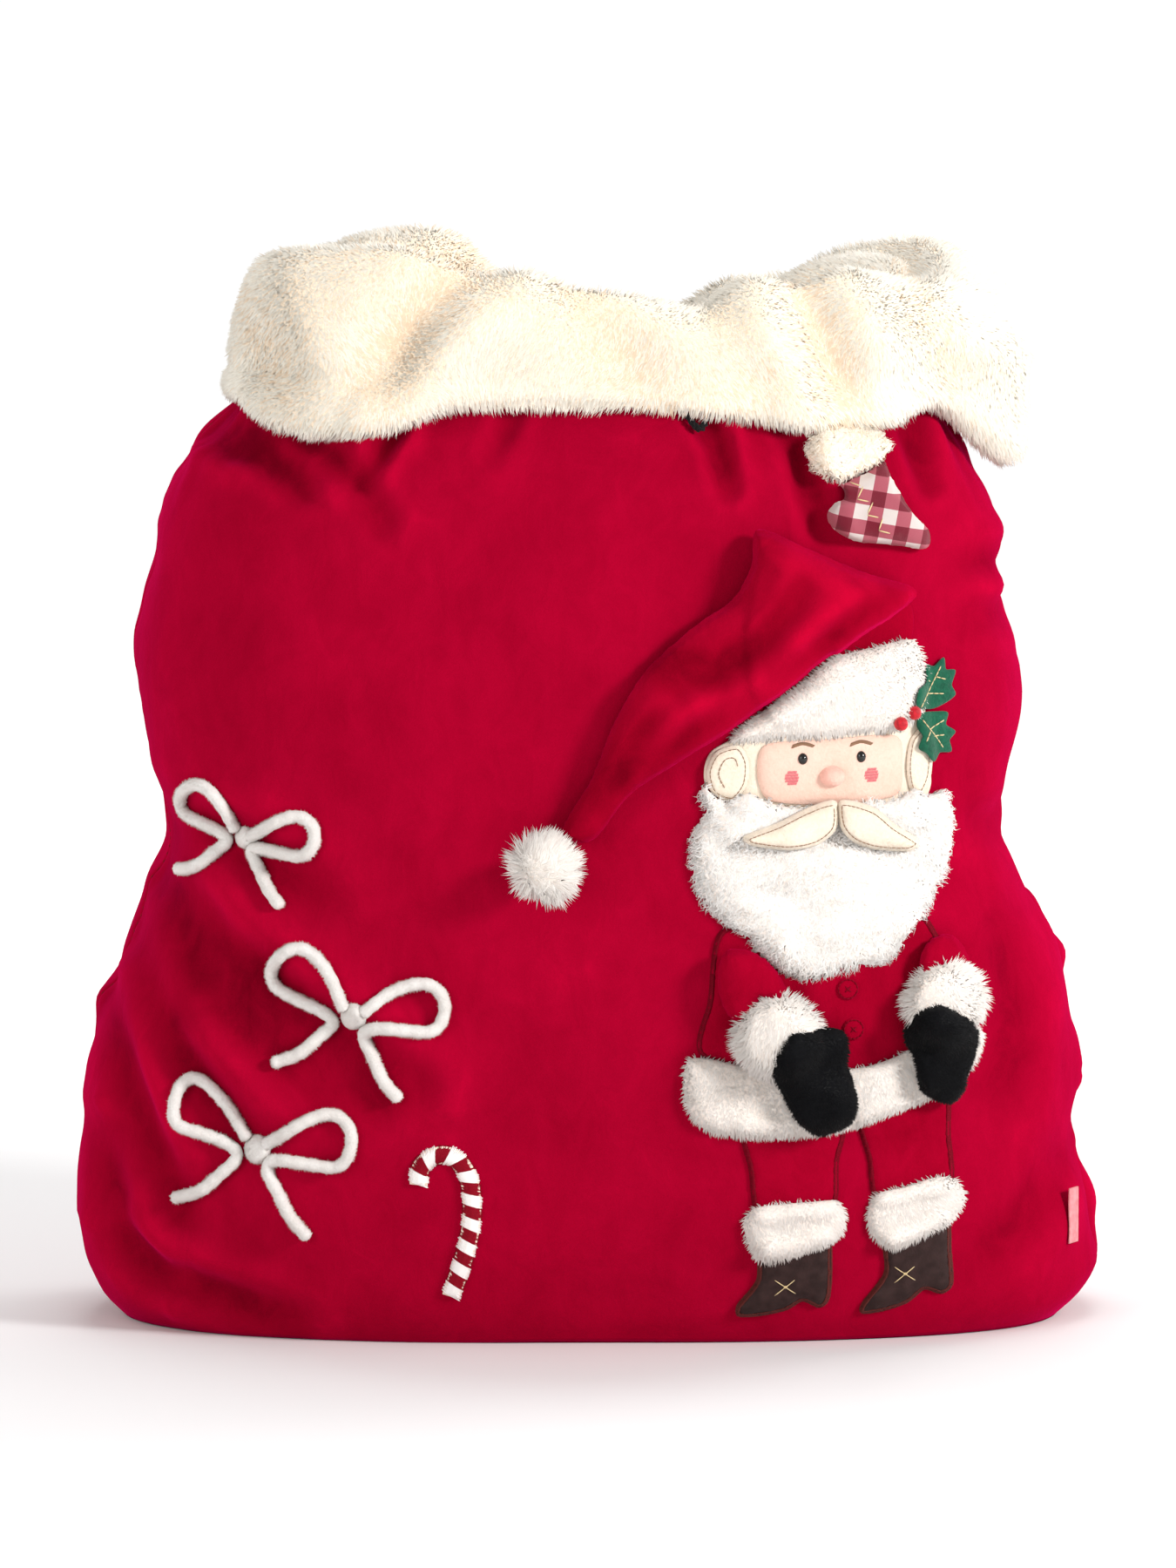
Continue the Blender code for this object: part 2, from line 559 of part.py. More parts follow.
def ball(name, centre, radius, colour, rough=0.6, rings=8, around=12, flat=1.0):
    verts, faces = [], []
    cx, cy, cz = centre
    for r in range(1, rings):
        t = math.pi * r / rings
        for k in range(around):
            p = 2 * math.pi * k / around
            verts.append((cx + radius * math.sin(t) * math.cos(p), cy - radius * flat * math.sin(t) * math.sin(p), cz + radius * math.cos(t)))
    faces = grid_faces(rings - 1, around, True)
    verts += [(cx, cy, cz + radius), (cx, cy, cz - radius)]
    n = (rings - 1) * around
    for k in range(around):
        m = (k + 1) % around
        faces += [(k, m, n), (n - around + k, n - around + m, n + 1)]
    return add(name, verts, faces, colour, rough)


for number, (x, z) in enumerate(((162.5, 325.5), (169.5, 330.5)), 1):
    low = top_of(("head_panel", "hat_brim", "holly_leaf_upper", "holly_leaf_lower", "ear_right", "face_panel"), x, z, 3.4)
    ball(f"berry_{number}", (x, front_y(x, z) - low - 3.9, z), 3.3, (0.55, 0.0, 0.03), 0.45, 7, 12)

# the loose tail of the hat, folded over the top of the crown, and its pompom
FOLD_LEFT, FOLD_RIGHT = (90.0, 427.0), (170.0, 392.5)
POMPOM = (-20.0, 256.0)
POMPOM_RADIUS = 20.0
TIP = (-6.2, 274.4)
TAIL = [FOLD_LEFT, (117, 415.5), (143, 404), FOLD_RIGHT, (160, 381), (141, 369), (116, 348.5), (88, 329), (58, 312), (24, 292), (-3, 272), (-9.4, 277.5),
        (3, 300), (15, 330), (31, 356), (57, 379), (76, 392), (86, 410)]
tail_outline = smooth_outline(TAIL, 5)


def clear_of(outline, other, gap):
    """Pulls an outline back wherever it comes closer than the gap to another piece's outline."""
    middle_x = sum(p[0] for p in other) / len(other)
    middle_z = sum(p[1] for p in other) / len(other)
    found = []
    for x, z in outline:
        for _ in range(40):
            if not inside((x, z), other) and from_edge((x, z), other) >= gap:
                break
            dx, dz = x - middle_x, z - middle_z
            length = math.hypot(dx, dz) or 1
            x, z = x + dx / length * 0.8, z + dz / length * 0.8
        found.append((x, z))
    return found


tail_outline = clear_of(tail_outline, PIECES["hat_brim"][0], 1.6)


def tail_thick(x, z):
    """Thinner towards the tip."""
    along = ((FOLD_LEFT[0] + FOLD_RIGHT[0]) / 2 - x) * 0.75 + ((FOLD_LEFT[1] + FOLD_RIGHT[1]) / 2 - z) * 0.66
    return 1.0 - 0.42 * max(0.0, min(1.0, (along - 20) / 170))


hat_tail = plate("hat_tail", tail_outline, 4.0, 15.0, RED, under=("hat_crown", "head_panel"), width=22, reach=8, lift=0.4, taper=tail_thick)
pom_y = front_y(*POMPOM) - POMPOM_RADIUS - 1.5
hat_pompom = ball("hat_pompom", (POMPOM[0], pom_y, POMPOM[1]), POMPOM_RADIUS, CREAM, 0.95, 12, 20)

# arms: sleeve, fur cuff and mitten, loose below the shoulder
ARM_BELOW = ("coat", "coat_hem", "button_1", "button_2")


def arm(side, sleeve, cuff_middle, cuff_radius, mitten, colour=RED):
    cx, cz = cuff_middle
    under = ARM_BELOW
    sleeve_line = push_out(smooth_outline(sleeve, 3), cx, cz, cuff_radius + 0.8)
    mitten_line = push_out(smooth_outline(mitten, 3), cx, cz, cuff_radius + 0.8)
    made = [
        plate(f"sleeve_{side}", sleeve_line, 3.0, 15.0, colour, under=under, width=13, step=8, lift=0.5, reach=7),
        plate(f"sleeve_cuff_{side}", circle(cx, cz, cuff_radius, None, 22), 8.0, 26.0, CREAM, under=under, width=cuff_radius, step=8, lift=0.5,
              reach=7),
        plate(f"mitten_{side}", mitten_line, 5.0, 19.0, (0.012, 0.012, 0.014), under=under, width=15, step=7, lift=0.5, reach=7, least=4.0),
    ]
    return made


SHOULDER_LEFT, SHOULDER_RIGHT = (82.0, 212.0), (186.5, 216.0)
left_arm = arm("left", [(73, 212.5), (84, 212.5), (93, 208), (101, 199), (106, 186), (102, 172), (85, 171), (74, 178), (69, 190), (69, 204)],
               (100, 171), 21.5, [(93, 158), (100, 172), (122, 176), (134, 176), (137, 160), (143, 136), (140, 124), (131, 118), (119, 121), (106, 136),
                                  (96, 150)])
right_arm = arm("right", [(181, 216), (190, 214), (198, 203), (198, 188), (176, 188), (172, 200), (175, 211)], (186, 182), 20.5,
                [(167, 164), (168, 178), (184, 180), (198, 176), (203, 162), (200, 146), (194, 132), (184, 130), (171, 144), (166, 155)])

# candy cane and cord bows
def strip(centre, half, step=3.0):
    """An outline either side of a centre line."""
    line = []
    n = len(centre)
    for i in range(n - 1):
        p0, p1, p2, p3 = (Vector(centre[max(0, min(n - 1, i + k))]) for k in (-1, 0, 1, 2))
        parts = max(1, round((p2 - p1).length / step))
        for k in range(parts):
            t = k / parts
            line.append(0.5 * (2 * p1 + (p2 - p0) * t + (2 * p0 - 5 * p1 + 4 * p2 - p3) * t * t + (3 * p1 - p0 - 3 * p2 + p3) * t ** 3))
    line.append(Vector(centre[-1]))
    one, two = [], []
    for i, p in enumerate(line):
        along = (line[min(i + 1, len(line) - 1)] - line[max(i - 1, 0)]).normalized()
        side = Vector((-along.y, along.x)) * half
        one.append(tuple(p + side))
        two.append(tuple(p - side))
    return one + two[::-1]


CANE = [(-85, 88), (-83.5, 97), (-76.5, 103), (-67, 102.5), (-60, 94), (-57.5, 82), (-58, 66), (-62, 48), (-68.5, 28)]
plate("candy_cane", strip(CANE, 4.9), 1.4, 3.0, WHITE, width=4.5, step=5)


def cord_on_panel(name, path, radius, colour):
    """A cord couched onto the panel: a bar that touches the velvet all the way."""
    n = len(path)
    line = []
    for i in range(n - 1):
        p0, p1, p2, p3 = (Vector(path[max(0, min(n - 1, i + k))]) for k in (-1, 0, 1, 2))
        parts = max(1, round((p2 - p1).length / 7.5))
        for k in range(parts):
            t = k / parts
            line.append(0.5 * (2 * p1 + (p2 - p0) * t + (2 * p0 - 5 * p1 + 4 * p2 - p3) * t * t + (3 * p1 - p0 - 3 * p2 + p3) * t ** 3))
    line.append(Vector(path[-1]))
    points = []
    for p in line:
        slope_x = (front_y(p.x + 1.5, p.y) - front_y(p.x - 1.5, p.y)) / 3
        slope_z = (front_y(p.x, p.y + 1.5) - front_y(p.x, p.y - 1.5)) / 3
        out = Vector((slope_x, -1, slope_z)).normalized() * (radius + PANEL_GAP)
        points.append((p.x + out.x, front_y(p.x, p.y) + out.y, p.y + out.z))
    ends = lambda t: radius * (0.72 if t in (0.0, 1.0) else 1.0)
    return add(name, *tube(points, ends, 6), colour)


CORD = 3.3
# Each bow: middle, size of the loops, turn in degrees.
BOWS = (((-174, 264), 34.0, -14.0), ((-118, 176), 43.0, -14.0), ((-168, 104), 45.0, -12.0))
# half a bow in shares of its size: out from the knot, round the loop, back and down the tail
HALF_BOW = ((0.15, 0.13), (0.42, 0.42), (0.74, 0.58), (0.98, 0.42), (0.97, 0.12), (0.70, 0.02), (0.38, -0.03), (0.20, -0.16), (0.36, -0.42),
            (0.52, -0.66), (0.78, -0.84))
for number, ((bx, bz), size, turn) in enumerate(BOWS, 1):
    t = math.radians(turn)

    def place(u, v):
        return (bx + size * (u * math.cos(t) - v * math.sin(t)), bz + size * (u * math.sin(t) + v * math.cos(t)))

    for sign, side in ((-1, "left"), (1, "right")):
        cord_on_panel(f"bow_{number}_{side}", [place(sign * u, v) for u, v in HALF_BOW], CORD, (0.86, 0.80, 0.72))
    plate(f"bow_{number}_knot", circle(bx, bz - size * 0.01, size * 0.155 - CORD * 0.62, size * 0.17, 12, t), 3.0, 8.2, (0.86, 0.80, 0.72), width=5,
          step=4)

# stocking charm: a loop at the cuff, a fur band and a stuffed leg
STOCKING_PIVOT = (137.0, 474.0)
ST_LEG = [(128, 455), (138, 452), (152, 459), (159, 449), (168, 434), (178, 420), (176, 411), (165, 413), (153, 415), (139, 417), (128, 423), (124, 430),
          (127, 437), (133, 441), (132, 448)]
ST_CUFF = [(113, 462), (115, 470), (124, 475.5), (138, 477), (152, 473), (158, 466), (155, 460), (144, 454), (132, 450), (119, 454)]
ST_CUFF = [(x, z - 1.0) for x, z in ST_CUFF]
stocking_leg_line = clear_of(smooth_outline(ST_LEG, 4), smooth_outline(ST_CUFF, 4), 0.8)
STOCKING_PIVOT = (137.0, 478.6)
stocking_cuff_line = smooth_outline(ST_CUFF, 4)
stocking_leg = plate("stocking_leg", stocking_leg_line, 4.0, 13.0, (0.60, 0.10, 0.10), width=11, step=7, lift=1.2)
stocking_cuff = plate("stocking_cuff", stocking_cuff_line, 5.0, 14.0, CREAM, width=9, step=7, lift=1.2)
loop_points = [(137.0, front_y(137.0, z) - 1.2 - GAP, z) for z in (479.6, 481.4, 483.2, 485.0)]
stocking_loop = add("stocking_loop", *tube(loop_points, 1.1, 8), (0.60, 0.04, 0.06))

# side tag: a folded ribbon caught in the right seam, lying forward on the front panel
TAG_X, TAG_LOW, TAG_HIGH, TAG_LENGTH = 255.5, 44.0, 73.0, 9.0


def tag():
    z = (TAG_LOW + TAG_HIGH) / 2
    y = front_y(TAG_X, z)
    dx = 0.6
    slope = Vector((dx * 2, front_y(TAG_X + dx, z) - front_y(TAG_X - dx, z), 0)).normalized()
    outward = Vector((-slope.y, slope.x, 0))
    if outward.y > 0:
        outward = -outward
    root = Vector((TAG_X, y, 0)) + outward * 1.5
    verts = []
    for u in (0.4, TAG_LENGTH):
        for v in (0.0, 1.2):
            for h in (TAG_LOW, TAG_HIGH):
                p = root - slope * u + outward * (v + 0.03 * u)
                verts.append((p.x, p.y, h))
    faces = [(0, 1, 3, 2), (4, 5, 7, 6), (0, 1, 5, 4), (2, 3, 7, 6), (0, 2, 6, 4), (1, 3, 7, 5)]
    return add("side_tag", verts, faces, (0.50, 0.16, 0.20), smooth=False), root


side_tag, tag_root = tag()

# ---------------------------------------------------------------- joint axes
objects = bpy.data.objects


def on_panel(x, z, off):
    return (x, front_y(x, z) - off, z)


hinge_left, hinge_right = on_panel(*FOLD_LEFT, 6.0), on_panel(*FOLD_RIGHT, 6.0)
tail_axis = [(a + b) / 2 for a, b in zip(hinge_left, hinge_right)]
tail_empty = hang("axis_hat_tail", [hat_tail], tail_axis)
pompom_place = on_panel(*TIP, 5.0)
pompom_empty = hang("axis_hat_pompom", [hat_pompom], pompom_place)
hang("axis_arm_left", left_arm, on_panel(SHOULDER_LEFT[0], 212.5, 5.4))
hang("axis_arm_right", right_arm, on_panel(SHOULDER_RIGHT[0], 216.0, 5.4))
hang("axis_stocking", [stocking_leg, stocking_cuff], on_panel(*STOCKING_PIVOT, 4.0))
hang("axis_side_tag", [side_tag], (tag_root.x, tag_root.y, (TAG_LOW + TAG_HIGH) / 2))
bpy.context.view_layer.update()
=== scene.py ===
"""Looks of the fabric gift sack: velvet, lining, plush, fleece, felt, threads, floor, light and camera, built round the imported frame."""
import math

import bmesh
import bpy
import numpy as np
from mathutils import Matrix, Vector
from mathutils.bvhtree import BVHTree
from mathutils.geometry import delaunay_2d_cdt
from mathutils.kdtree import KDTree


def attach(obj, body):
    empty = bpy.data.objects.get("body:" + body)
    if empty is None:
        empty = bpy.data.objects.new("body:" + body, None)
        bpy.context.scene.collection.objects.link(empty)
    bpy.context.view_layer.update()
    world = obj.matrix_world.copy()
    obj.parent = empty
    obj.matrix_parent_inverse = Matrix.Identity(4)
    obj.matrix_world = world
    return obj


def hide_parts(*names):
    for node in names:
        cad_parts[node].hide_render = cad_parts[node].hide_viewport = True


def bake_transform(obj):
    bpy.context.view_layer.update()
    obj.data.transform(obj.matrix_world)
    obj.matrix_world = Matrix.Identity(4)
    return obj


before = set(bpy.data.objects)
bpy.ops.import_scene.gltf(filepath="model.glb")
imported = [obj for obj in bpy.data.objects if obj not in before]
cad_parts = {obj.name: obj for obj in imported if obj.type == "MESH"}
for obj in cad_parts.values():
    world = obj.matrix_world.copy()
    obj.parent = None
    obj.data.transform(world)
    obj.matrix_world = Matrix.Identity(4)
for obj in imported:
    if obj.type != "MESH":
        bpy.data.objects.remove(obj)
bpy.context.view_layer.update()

MM = 0.001

# ------------------------------------------------------------------ the bag's shape, as in the CAD, in millimetres
HALF_LEFT = ((0, 243), (12, 254), (28, 259.5), (60, 263), (120, 262), (165, 255), (200, 240), (256, 223.5),
             (300, 232), (335, 235), (370, 231), (415, 223), (445, 212), (465, 199), (482, 178), (500, 157))
HALF_RIGHT = ((0, 249), (12, 259), (28, 263), (60, 262), (100, 256), (150, 257), (190, 251), (225, 234),
              (256, 218), (290, 223), (325, 228), (370, 220), (405, 217), (445, 203), (465, 193), (482, 183), (500, 174))
HALF_FRONT = ((0, 104), (12, 113), (28, 120), (60, 129), (120, 136), (200, 139), (280, 136), (350, 130),
              (400, 123), (440, 112), (465, 101), (482, 91), (500, 83))
HALF_BACK = ((0, 102), (12, 110), (28, 116), (60, 123), (120, 128), (200, 129), (280, 125), (350, 119),
             (400, 113), (440, 105), (465, 96), (482, 88), (500, 82))
SQUARENESS = 2.6
PANEL_TOP = 500.0


def tab(rows, z):
    """Smooth reading of a table at an array of places."""
    zs = np.array([r[0] for r in rows], float)
    vs = np.array([r[1] for r in rows], float)
    z = np.clip(np.asarray(z, float), zs[0], zs[-1])
    slope = np.empty_like(vs)
    slope[1:-1] = (vs[2:] - vs[:-2]) / (zs[2:] - zs[:-2])
    slope[0] = (vs[1] - vs[0]) / (zs[1] - zs[0])
    slope[-1] = (vs[-1] - vs[-2]) / (zs[-1] - zs[-2])
    i = np.clip(np.searchsorted(zs, z, side="right") - 1, 0, len(zs) - 2)
    h = zs[i + 1] - zs[i]
    t = (z - zs[i]) / h
    return (vs[i] * (1 + 2 * t) * (1 - t) ** 2 + vs[i + 1] * t * t * (3 - 2 * t)
            + h * slope[i] * t * (1 - t) ** 2 + h * slope[i + 1] * t * t * (t - 1))


def ring_point(angle, z, inward=0.0):
    c, s = np.cos(angle), np.sin(angle)
    a = np.where(c > 0, tab(HALF_RIGHT, z), tab(HALF_LEFT, z)) - inward
    b = np.where(s > 0, tab(HALF_BACK, z), tab(HALF_FRONT, z)) - inward
    e = 2 / SQUARENESS
    return a * np.sign(c) * np.abs(c) ** e, b * np.sign(s) * np.abs(s) ** e


def even_angles(start, end, count, z=250.0):
    fine = np.linspace(start, end, 2001)
    x, y = ring_point(fine, np.full_like(fine, z))
    run = np.concatenate([[0], np.cumsum(np.hypot(np.diff(x), np.diff(y)))])
    return np.interp(np.linspace(0, run[-1], count + 1), run, fine), run[-1]


def waves(seed, scale, count=24):
    """A smooth random field of unit size whose features are about `scale` millimetres wide."""
    r = np.random.default_rng(seed)
    direction = r.normal(size=(count, 3))
    direction /= np.linalg.norm(direction, axis=1)[:, None]
    k = direction * (2 * math.pi / (scale * r.uniform(1.2, 3.2, (count, 1))))
    phase = r.uniform(0, 2 * math.pi, count)
    return lambda p: np.sin(p @ k.T + phase).sum(axis=1) / math.sqrt(count / 2)


def to_line(x, z, path):
    """Distance to a polyline, the share of its length at the nearest point, and the side (+1 left of it)."""
    path = np.asarray(path, float)
    best = np.full(x.shape, 1e9)
    along = np.zeros(x.shape)
    side = np.zeros(x.shape)
    lengths = np.hypot(*(path[1:] - path[:-1]).T)
    start = np.concatenate([[0], np.cumsum(lengths)])
    for i in range(len(path) - 1):
        (x0, z0), (x1, z1) = path[i], path[i + 1]
        dx, dz = x1 - x0, z1 - z0
        t = np.clip(((x - x0) * dx + (z - z0) * dz) / max(dx * dx + dz * dz, 1e-9), 0, 1)
        d = np.hypot(x - x0 - t * dx, z - z0 - t * dz)
        near = d < best
        best = np.where(near, d, best)
        along = np.where(near, (start[i] + t * lengths[i]) / start[-1], along)
        side = np.where(near, np.sign(dx * (z - z0) - dz * (x - x0)), side)
    return best, along, side


# Soft folds and creases of the front, as lines over the face: points, width, depth, ridge beside the valley.
CREASES = (
    (((-226, 248), (-190, 205), (-140, 170), (-92, 138)), 14, 6.6, 0.6),
    (((-232, 228), (-196, 180), (-152, 148), (-112, 126)), 12, 5.4, 0.55),
    (((-240, 205), (-210, 152), (-172, 106)), 12, 5.0, 0.55),
    (((-250, 170), (-232, 112), (-212, 66)), 11, 5.6, 0.6),
    (((-222, 268), (-180, 262), (-140, 238)), 13, 3.6, 0.5),
    (((-250, 104), (-240, 60), (-224, 26)), 9, 4.0, 0.7),
    (((-240, 44), (-200, 26), (-150, 12)), 10, 4.2, 0.6),
    (((-196, 470), (-166, 462), (-146, 447)), 9, 7.0, 0.5),
    (((-180, 482), (-150, 474), (-120, 452), (-104, 430)), 8, 4.0, 0.5),
    (((-92, 492), (-98, 474), (-112, 452)), 6, 4.0, 0.6),
    (((-34, 490), (-40, 478), (-48, 462)), 6, 2.0, 0.5),
    (((56, 486), (68, 468), (74, 446)), 6, 4.0, 0.8),
    (((104, 484), (112, 462), (120, 430), (122, 418)), 7, 4.6, 0.6),
    (((166, 482), (172, 460), (176, 444)), 6, 3.6, 0.6),
    (((214, 400), (196, 404), (176, 400)), 8, 4.2, 0.5),
    (((222, 372), (200, 376), (172, 372)), 9, 2.4, 0.5),
    (((218, 262), (204, 268), (192, 286)), 9, 2.4, 0.4),
    (((214, 216), (222, 176), (218, 130)), 13, 2.4, 0.5),
    (((250, 86), (226, 58), (196, 38)), 13, 3.0, 0.4),
)


def front_folds(x, z):
    d = np.zeros(x.shape)
    for path, width, depth, ridge in CREASES:
        far, along, side = to_line(x, z, path)
        fade = np.clip(1.15 - np.abs(along - 0.42) * 1.35, 0, 1) ** 0.8
        t = far / width
        d += 1.7 * fade * depth * (-np.exp(-t * t) + ridge * np.exp(-((t - 1.75) / 0.8) ** 2) * np.where(side > 0, 1.0, 0.55))
    return d


FIELD_A, FIELD_B, FIELD_C = waves(5, 46), waves(6, 17), waves(7, 100)
# Notches and bulges of the two sides, shared by both walls so that they still meet: (height, half height, depth).
SIDE_LEFT = ((246, 10, -4.5), (228, 9, 3.0), (179, 9, -4.5), (164, 10, 3.5), (112, 14, 1.0), (60, 12, 1.0), (30, 14, 3.0), (352, 14, 2.0), (398, 12, -2.5), (452, 8, -3.0))
SIDE_RIGHT = ((262, 14, 6.0), (238, 10, 2.0), (206, 22, 6.0), (168, 20, 1.5), (130, 24, 8.0), (92, 10, 1.5), (26, 16, 5.0), (389, 10, -6.0), (410, 9, 1.5), (338, 12, 1.0),
              (446, 8, -2.5))


def side_folds(x, z):
    found = np.zeros(x.shape)
    for rows, keep in ((SIDE_LEFT, x < 0), (SIDE_RIGHT, x >= 0)):
        for height, half, depth in rows:
            found += np.where(keep, depth * np.exp(-((z - height) / half) ** 2), 0)
    return found


def pleats(run, z, seed):
    """Gathers round the neck: they deepen towards the channel of the drawcord."""
    r = np.random.default_rng(seed)
    total = np.zeros(run.shape)
    for k in range(9):
        period = r.uniform(21, 60)
        total += np.sin(2 * math.pi * run / period + r.uniform(0, 6.3) + 0.02 * (z - 450) * r.uniform(-1, 1)) / 3.2
    sharp = np.sign(total) * np.abs(total) ** 0.85
    depth = np.clip((z - 408) / 88, 0, 1) ** 1.7
    return sharp * depth * 2.8 - depth * 1.6


def calm(x, z):
    """1 over open velvet, close to 0 under the padded figure, so that what is sewn on lies flat."""
    far_x = np.clip((np.abs(x - 124) - 62) / 26, 0, 1)
    far_z = np.clip((z - 412) / 14, 0, 1)
    return np.clip(np.maximum(far_x, far_z), 0.0, 1.0)


# ------------------------------------------------------------------ materials
def shader_of(mat):
    return mat.node_tree.nodes["Principled BSDF"]


def new_mat(name, colour, rough, sheen=0.0, sheen_tint=(1, 1, 1), sheen_rough=0.5, **more):
    mat = bpy.data.materials.new(name)
    mat.use_nodes = True
    s = shader_of(mat)
    s.inputs["Base Color"].default_value = (*colour, 1)
    s.inputs["Roughness"].default_value = rough
    s.inputs["Sheen Weight"].default_value = sheen
    s.inputs["Sheen Tint"].default_value = (*sheen_tint, 1)
    s.inputs["Sheen Roughness"].default_value = sheen_rough
    s.inputs["Specular IOR Level"].default_value = more.get("specular", 0.25)
    if "subsurface" in more:
        s.inputs["Subsurface Weight"].default_value = more["subsurface"]
        s.inputs["Subsurface Radius"].default_value = (0.004, 0.003, 0.0025)
        s.inputs["Subsurface Scale"].default_value = 1.0
    mat.diffuse_color = (*colour, 1)
    return mat


class Nodes:
    """Short calls for building a node tree."""

    def __init__(self, mat):
        self.tree = mat.node_tree
        self.shader = shader_of(mat)
        self.coord = self.tree.nodes.new("ShaderNodeTexCoord").outputs["Object"]

    def noise(self, scale, detail=3.0, rough=0.5, distortion=0.0, coord=None):
        n = self.tree.nodes.new("ShaderNodeTexNoise")
        n.inputs["Scale"].default_value = scale
        n.inputs["Detail"].default_value = detail
        n.inputs["Roughness"].default_value = rough
        n.inputs["Distortion"].default_value = distortion
        self.tree.links.new(coord or self.coord, n.inputs["Vector"])
        return n.outputs["Fac"]

    def stretch(self, x, y, z, turn=(0, 0, 0)):
        n = self.tree.nodes.new("ShaderNodeMapping")
        n.inputs["Scale"].default_value = (x, y, z)
        n.inputs["Rotation"].default_value = turn
        self.tree.links.new(self.coord, n.inputs["Vector"])
        return n.outputs["Vector"]

    def voronoi(self, scale, feature="F1", coord=None):
        n = self.tree.nodes.new("ShaderNodeTexVoronoi")
        n.feature = feature
        n.inputs["Scale"].default_value = scale
        self.tree.links.new(coord or self.coord, n.inputs["Vector"])
        return n.outputs["Distance"]

    def wave(self, scale, direction="X", distortion=0.0, coord=None, profile="SIN"):
        n = self.tree.nodes.new("ShaderNodeTexWave")
        n.bands_direction = direction
        n.wave_profile = profile
        n.inputs["Scale"].default_value = scale
        n.inputs["Distortion"].default_value = distortion
        self.tree.links.new(coord or self.coord, n.inputs["Vector"])
        return n.outputs["Fac"]

    def ramp(self, value, stops):
        n = self.tree.nodes.new("ShaderNodeValToRGB")
        while len(n.color_ramp.elements) < len(stops):
            n.color_ramp.elements.new(0.5)
        for e, (at, colour) in zip(n.color_ramp.elements, stops):
            e.position = at
            e.color = (*colour, 1) if hasattr(colour, "__len__") else (colour, colour, colour, 1)
        self.tree.links.new(value, n.inputs["Fac"])
        return n.outputs["Color"]

    def maths(self, kind, a, b):
        n = self.tree.nodes.new("ShaderNodeMath")
        n.operation = kind
        for i, v in enumerate((a, b)):
            if isinstance(v, (int, float)):
                n.inputs[i].default_value = v
            else:
                self.tree.links.new(v, n.inputs[i])
        return n.outputs[0]

    def bump(self, height, distance, strength=1.0, under=None):
        n = self.tree.nodes.new("ShaderNodeBump")
        n.inputs["Strength"].default_value = strength
        n.inputs["Distance"].default_value = distance
        self.tree.links.new(height, n.inputs["Height"])
        if under is not None:
            self.tree.links.new(under, n.inputs["Normal"])
        return n.outputs["Normal"]

    def to(self, socket, value):
        self.tree.links.new(value, self.shader.inputs[socket])


def set_painted_shading(obj, values):
    """Stores painted shading on each point, in the attribute named nap: 0 painted shade in a valley, 1 painted
    highlight on a ridge.
    """
    mesh = obj.data
    layer = mesh.attributes.get("nap") or mesh.attributes.new("nap", "FLOAT", "POINT")
    layer.data.foreach_set("value", np.asarray(values, np.float32))


def velvet(name, low, high, nap=58.0, sheen=0.36, tint=(1.0, 0.01, 0.20), folds=False):
    """Short-pile velvet: soft mottling where the nap lies in different ways, and a fine pile grain; with folds, painted
    shade in fold valleys and painted highlight on ridges, read from the nap attribute.
    """
    mat = new_mat(name, high, 0.82, sheen, tint, 0.38, specular=0.03)
    shader_of(mat).inputs["IOR"].default_value = 1.03
    n = Nodes(mat)
    drift = n.noise(nap * 0.34, 3.0, 0.55, 0.6)
    lay = n.noise(nap, 4.0, 0.6, 1.2, n.stretch(1.0, 1.0, 0.62, (0, 0.5, 0)))
    grain = n.noise(1500.0, 2.0, 0.7)
    fuzz = n.noise(420.0, 2.0, 0.6)
    mixed = n.maths("ADD", n.maths("MULTIPLY", drift, 0.45), n.maths("MULTIPLY", lay, 0.35))
    mixed = n.maths("ADD", mixed, n.maths("MULTIPLY", grain, 0.20))
    # painted shading: the nap attribute darkens the colour in fold valleys and lightens it on fold ridges
    if folds:
        layer = n.tree.nodes.new("ShaderNodeAttribute")
        layer.attribute_name = "nap"
        mixed = n.maths("ADD", mixed, n.maths("MULTIPLY", n.maths("SUBTRACT", layer.outputs["Fac"], 0.5), 0.62))
    mid = tuple((a + b) / 2 for a, b in zip(low, high))
    dark, bright = tuple(a * 0.56 for a in low), tuple(a * 1.32 for a in high)
    n.to("Base Color", n.ramp(mixed, ((0.14, dark), (0.36, low), (0.50, mid), (0.64, high), (0.88, bright))))
    n.to("Roughness", n.ramp(lay, ((0.3, 0.72), (0.7, 0.92))))
    first = n.bump(lay, 0.0016, 0.30)
    second = n.bump(fuzz, 0.00035, 0.35, first)
    n.to("Normal", n.bump(grain, 0.00022, 0.55, second))
    return mat


def fleece(name, low, high, scale=340.0, depth=0.0005, sheen=0.35):
    """Short brushed fleece or felt: matted fibres and little pills."""
    mat = new_mat(name, high, 0.95, sheen, (1, 0.97, 0.93), 0.5, specular=0.06)
    n = Nodes(mat)
    matted = n.noise(scale, 5.0, 0.65, 1.5)
    pills = n.voronoi(scale * 1.3)
    drift = n.noise(60.0, 2.0)
    mixed = n.maths("ADD", n.maths("MULTIPLY", matted, 0.6), n.maths("MULTIPLY", drift, 0.4))
    n.to("Base Color", n.ramp(mixed, ((0.35, low), (0.62, high))))
    first = n.bump(pills, depth, 0.35)
    n.to("Normal", n.bump(matted, depth, 0.7, first))
    return mat


def thread_mat(name, colour, rough=0.45, sheen=0.3, specular=0.35):
    mat = new_mat(name, colour, rough, sheen, (1, 1, 1), 0.4, specular=specular)
    n = Nodes(mat)
    n.to("Roughness", n.ramp(n.noise(1800.0, 2.0), ((0.3, rough * 0.85), (0.7, min(1.0, rough * 1.2)))))
    n.to("Normal", n.bump(n.noise(2600.0, 2.0, 0.6), 0.0001, 0.5))
    return mat


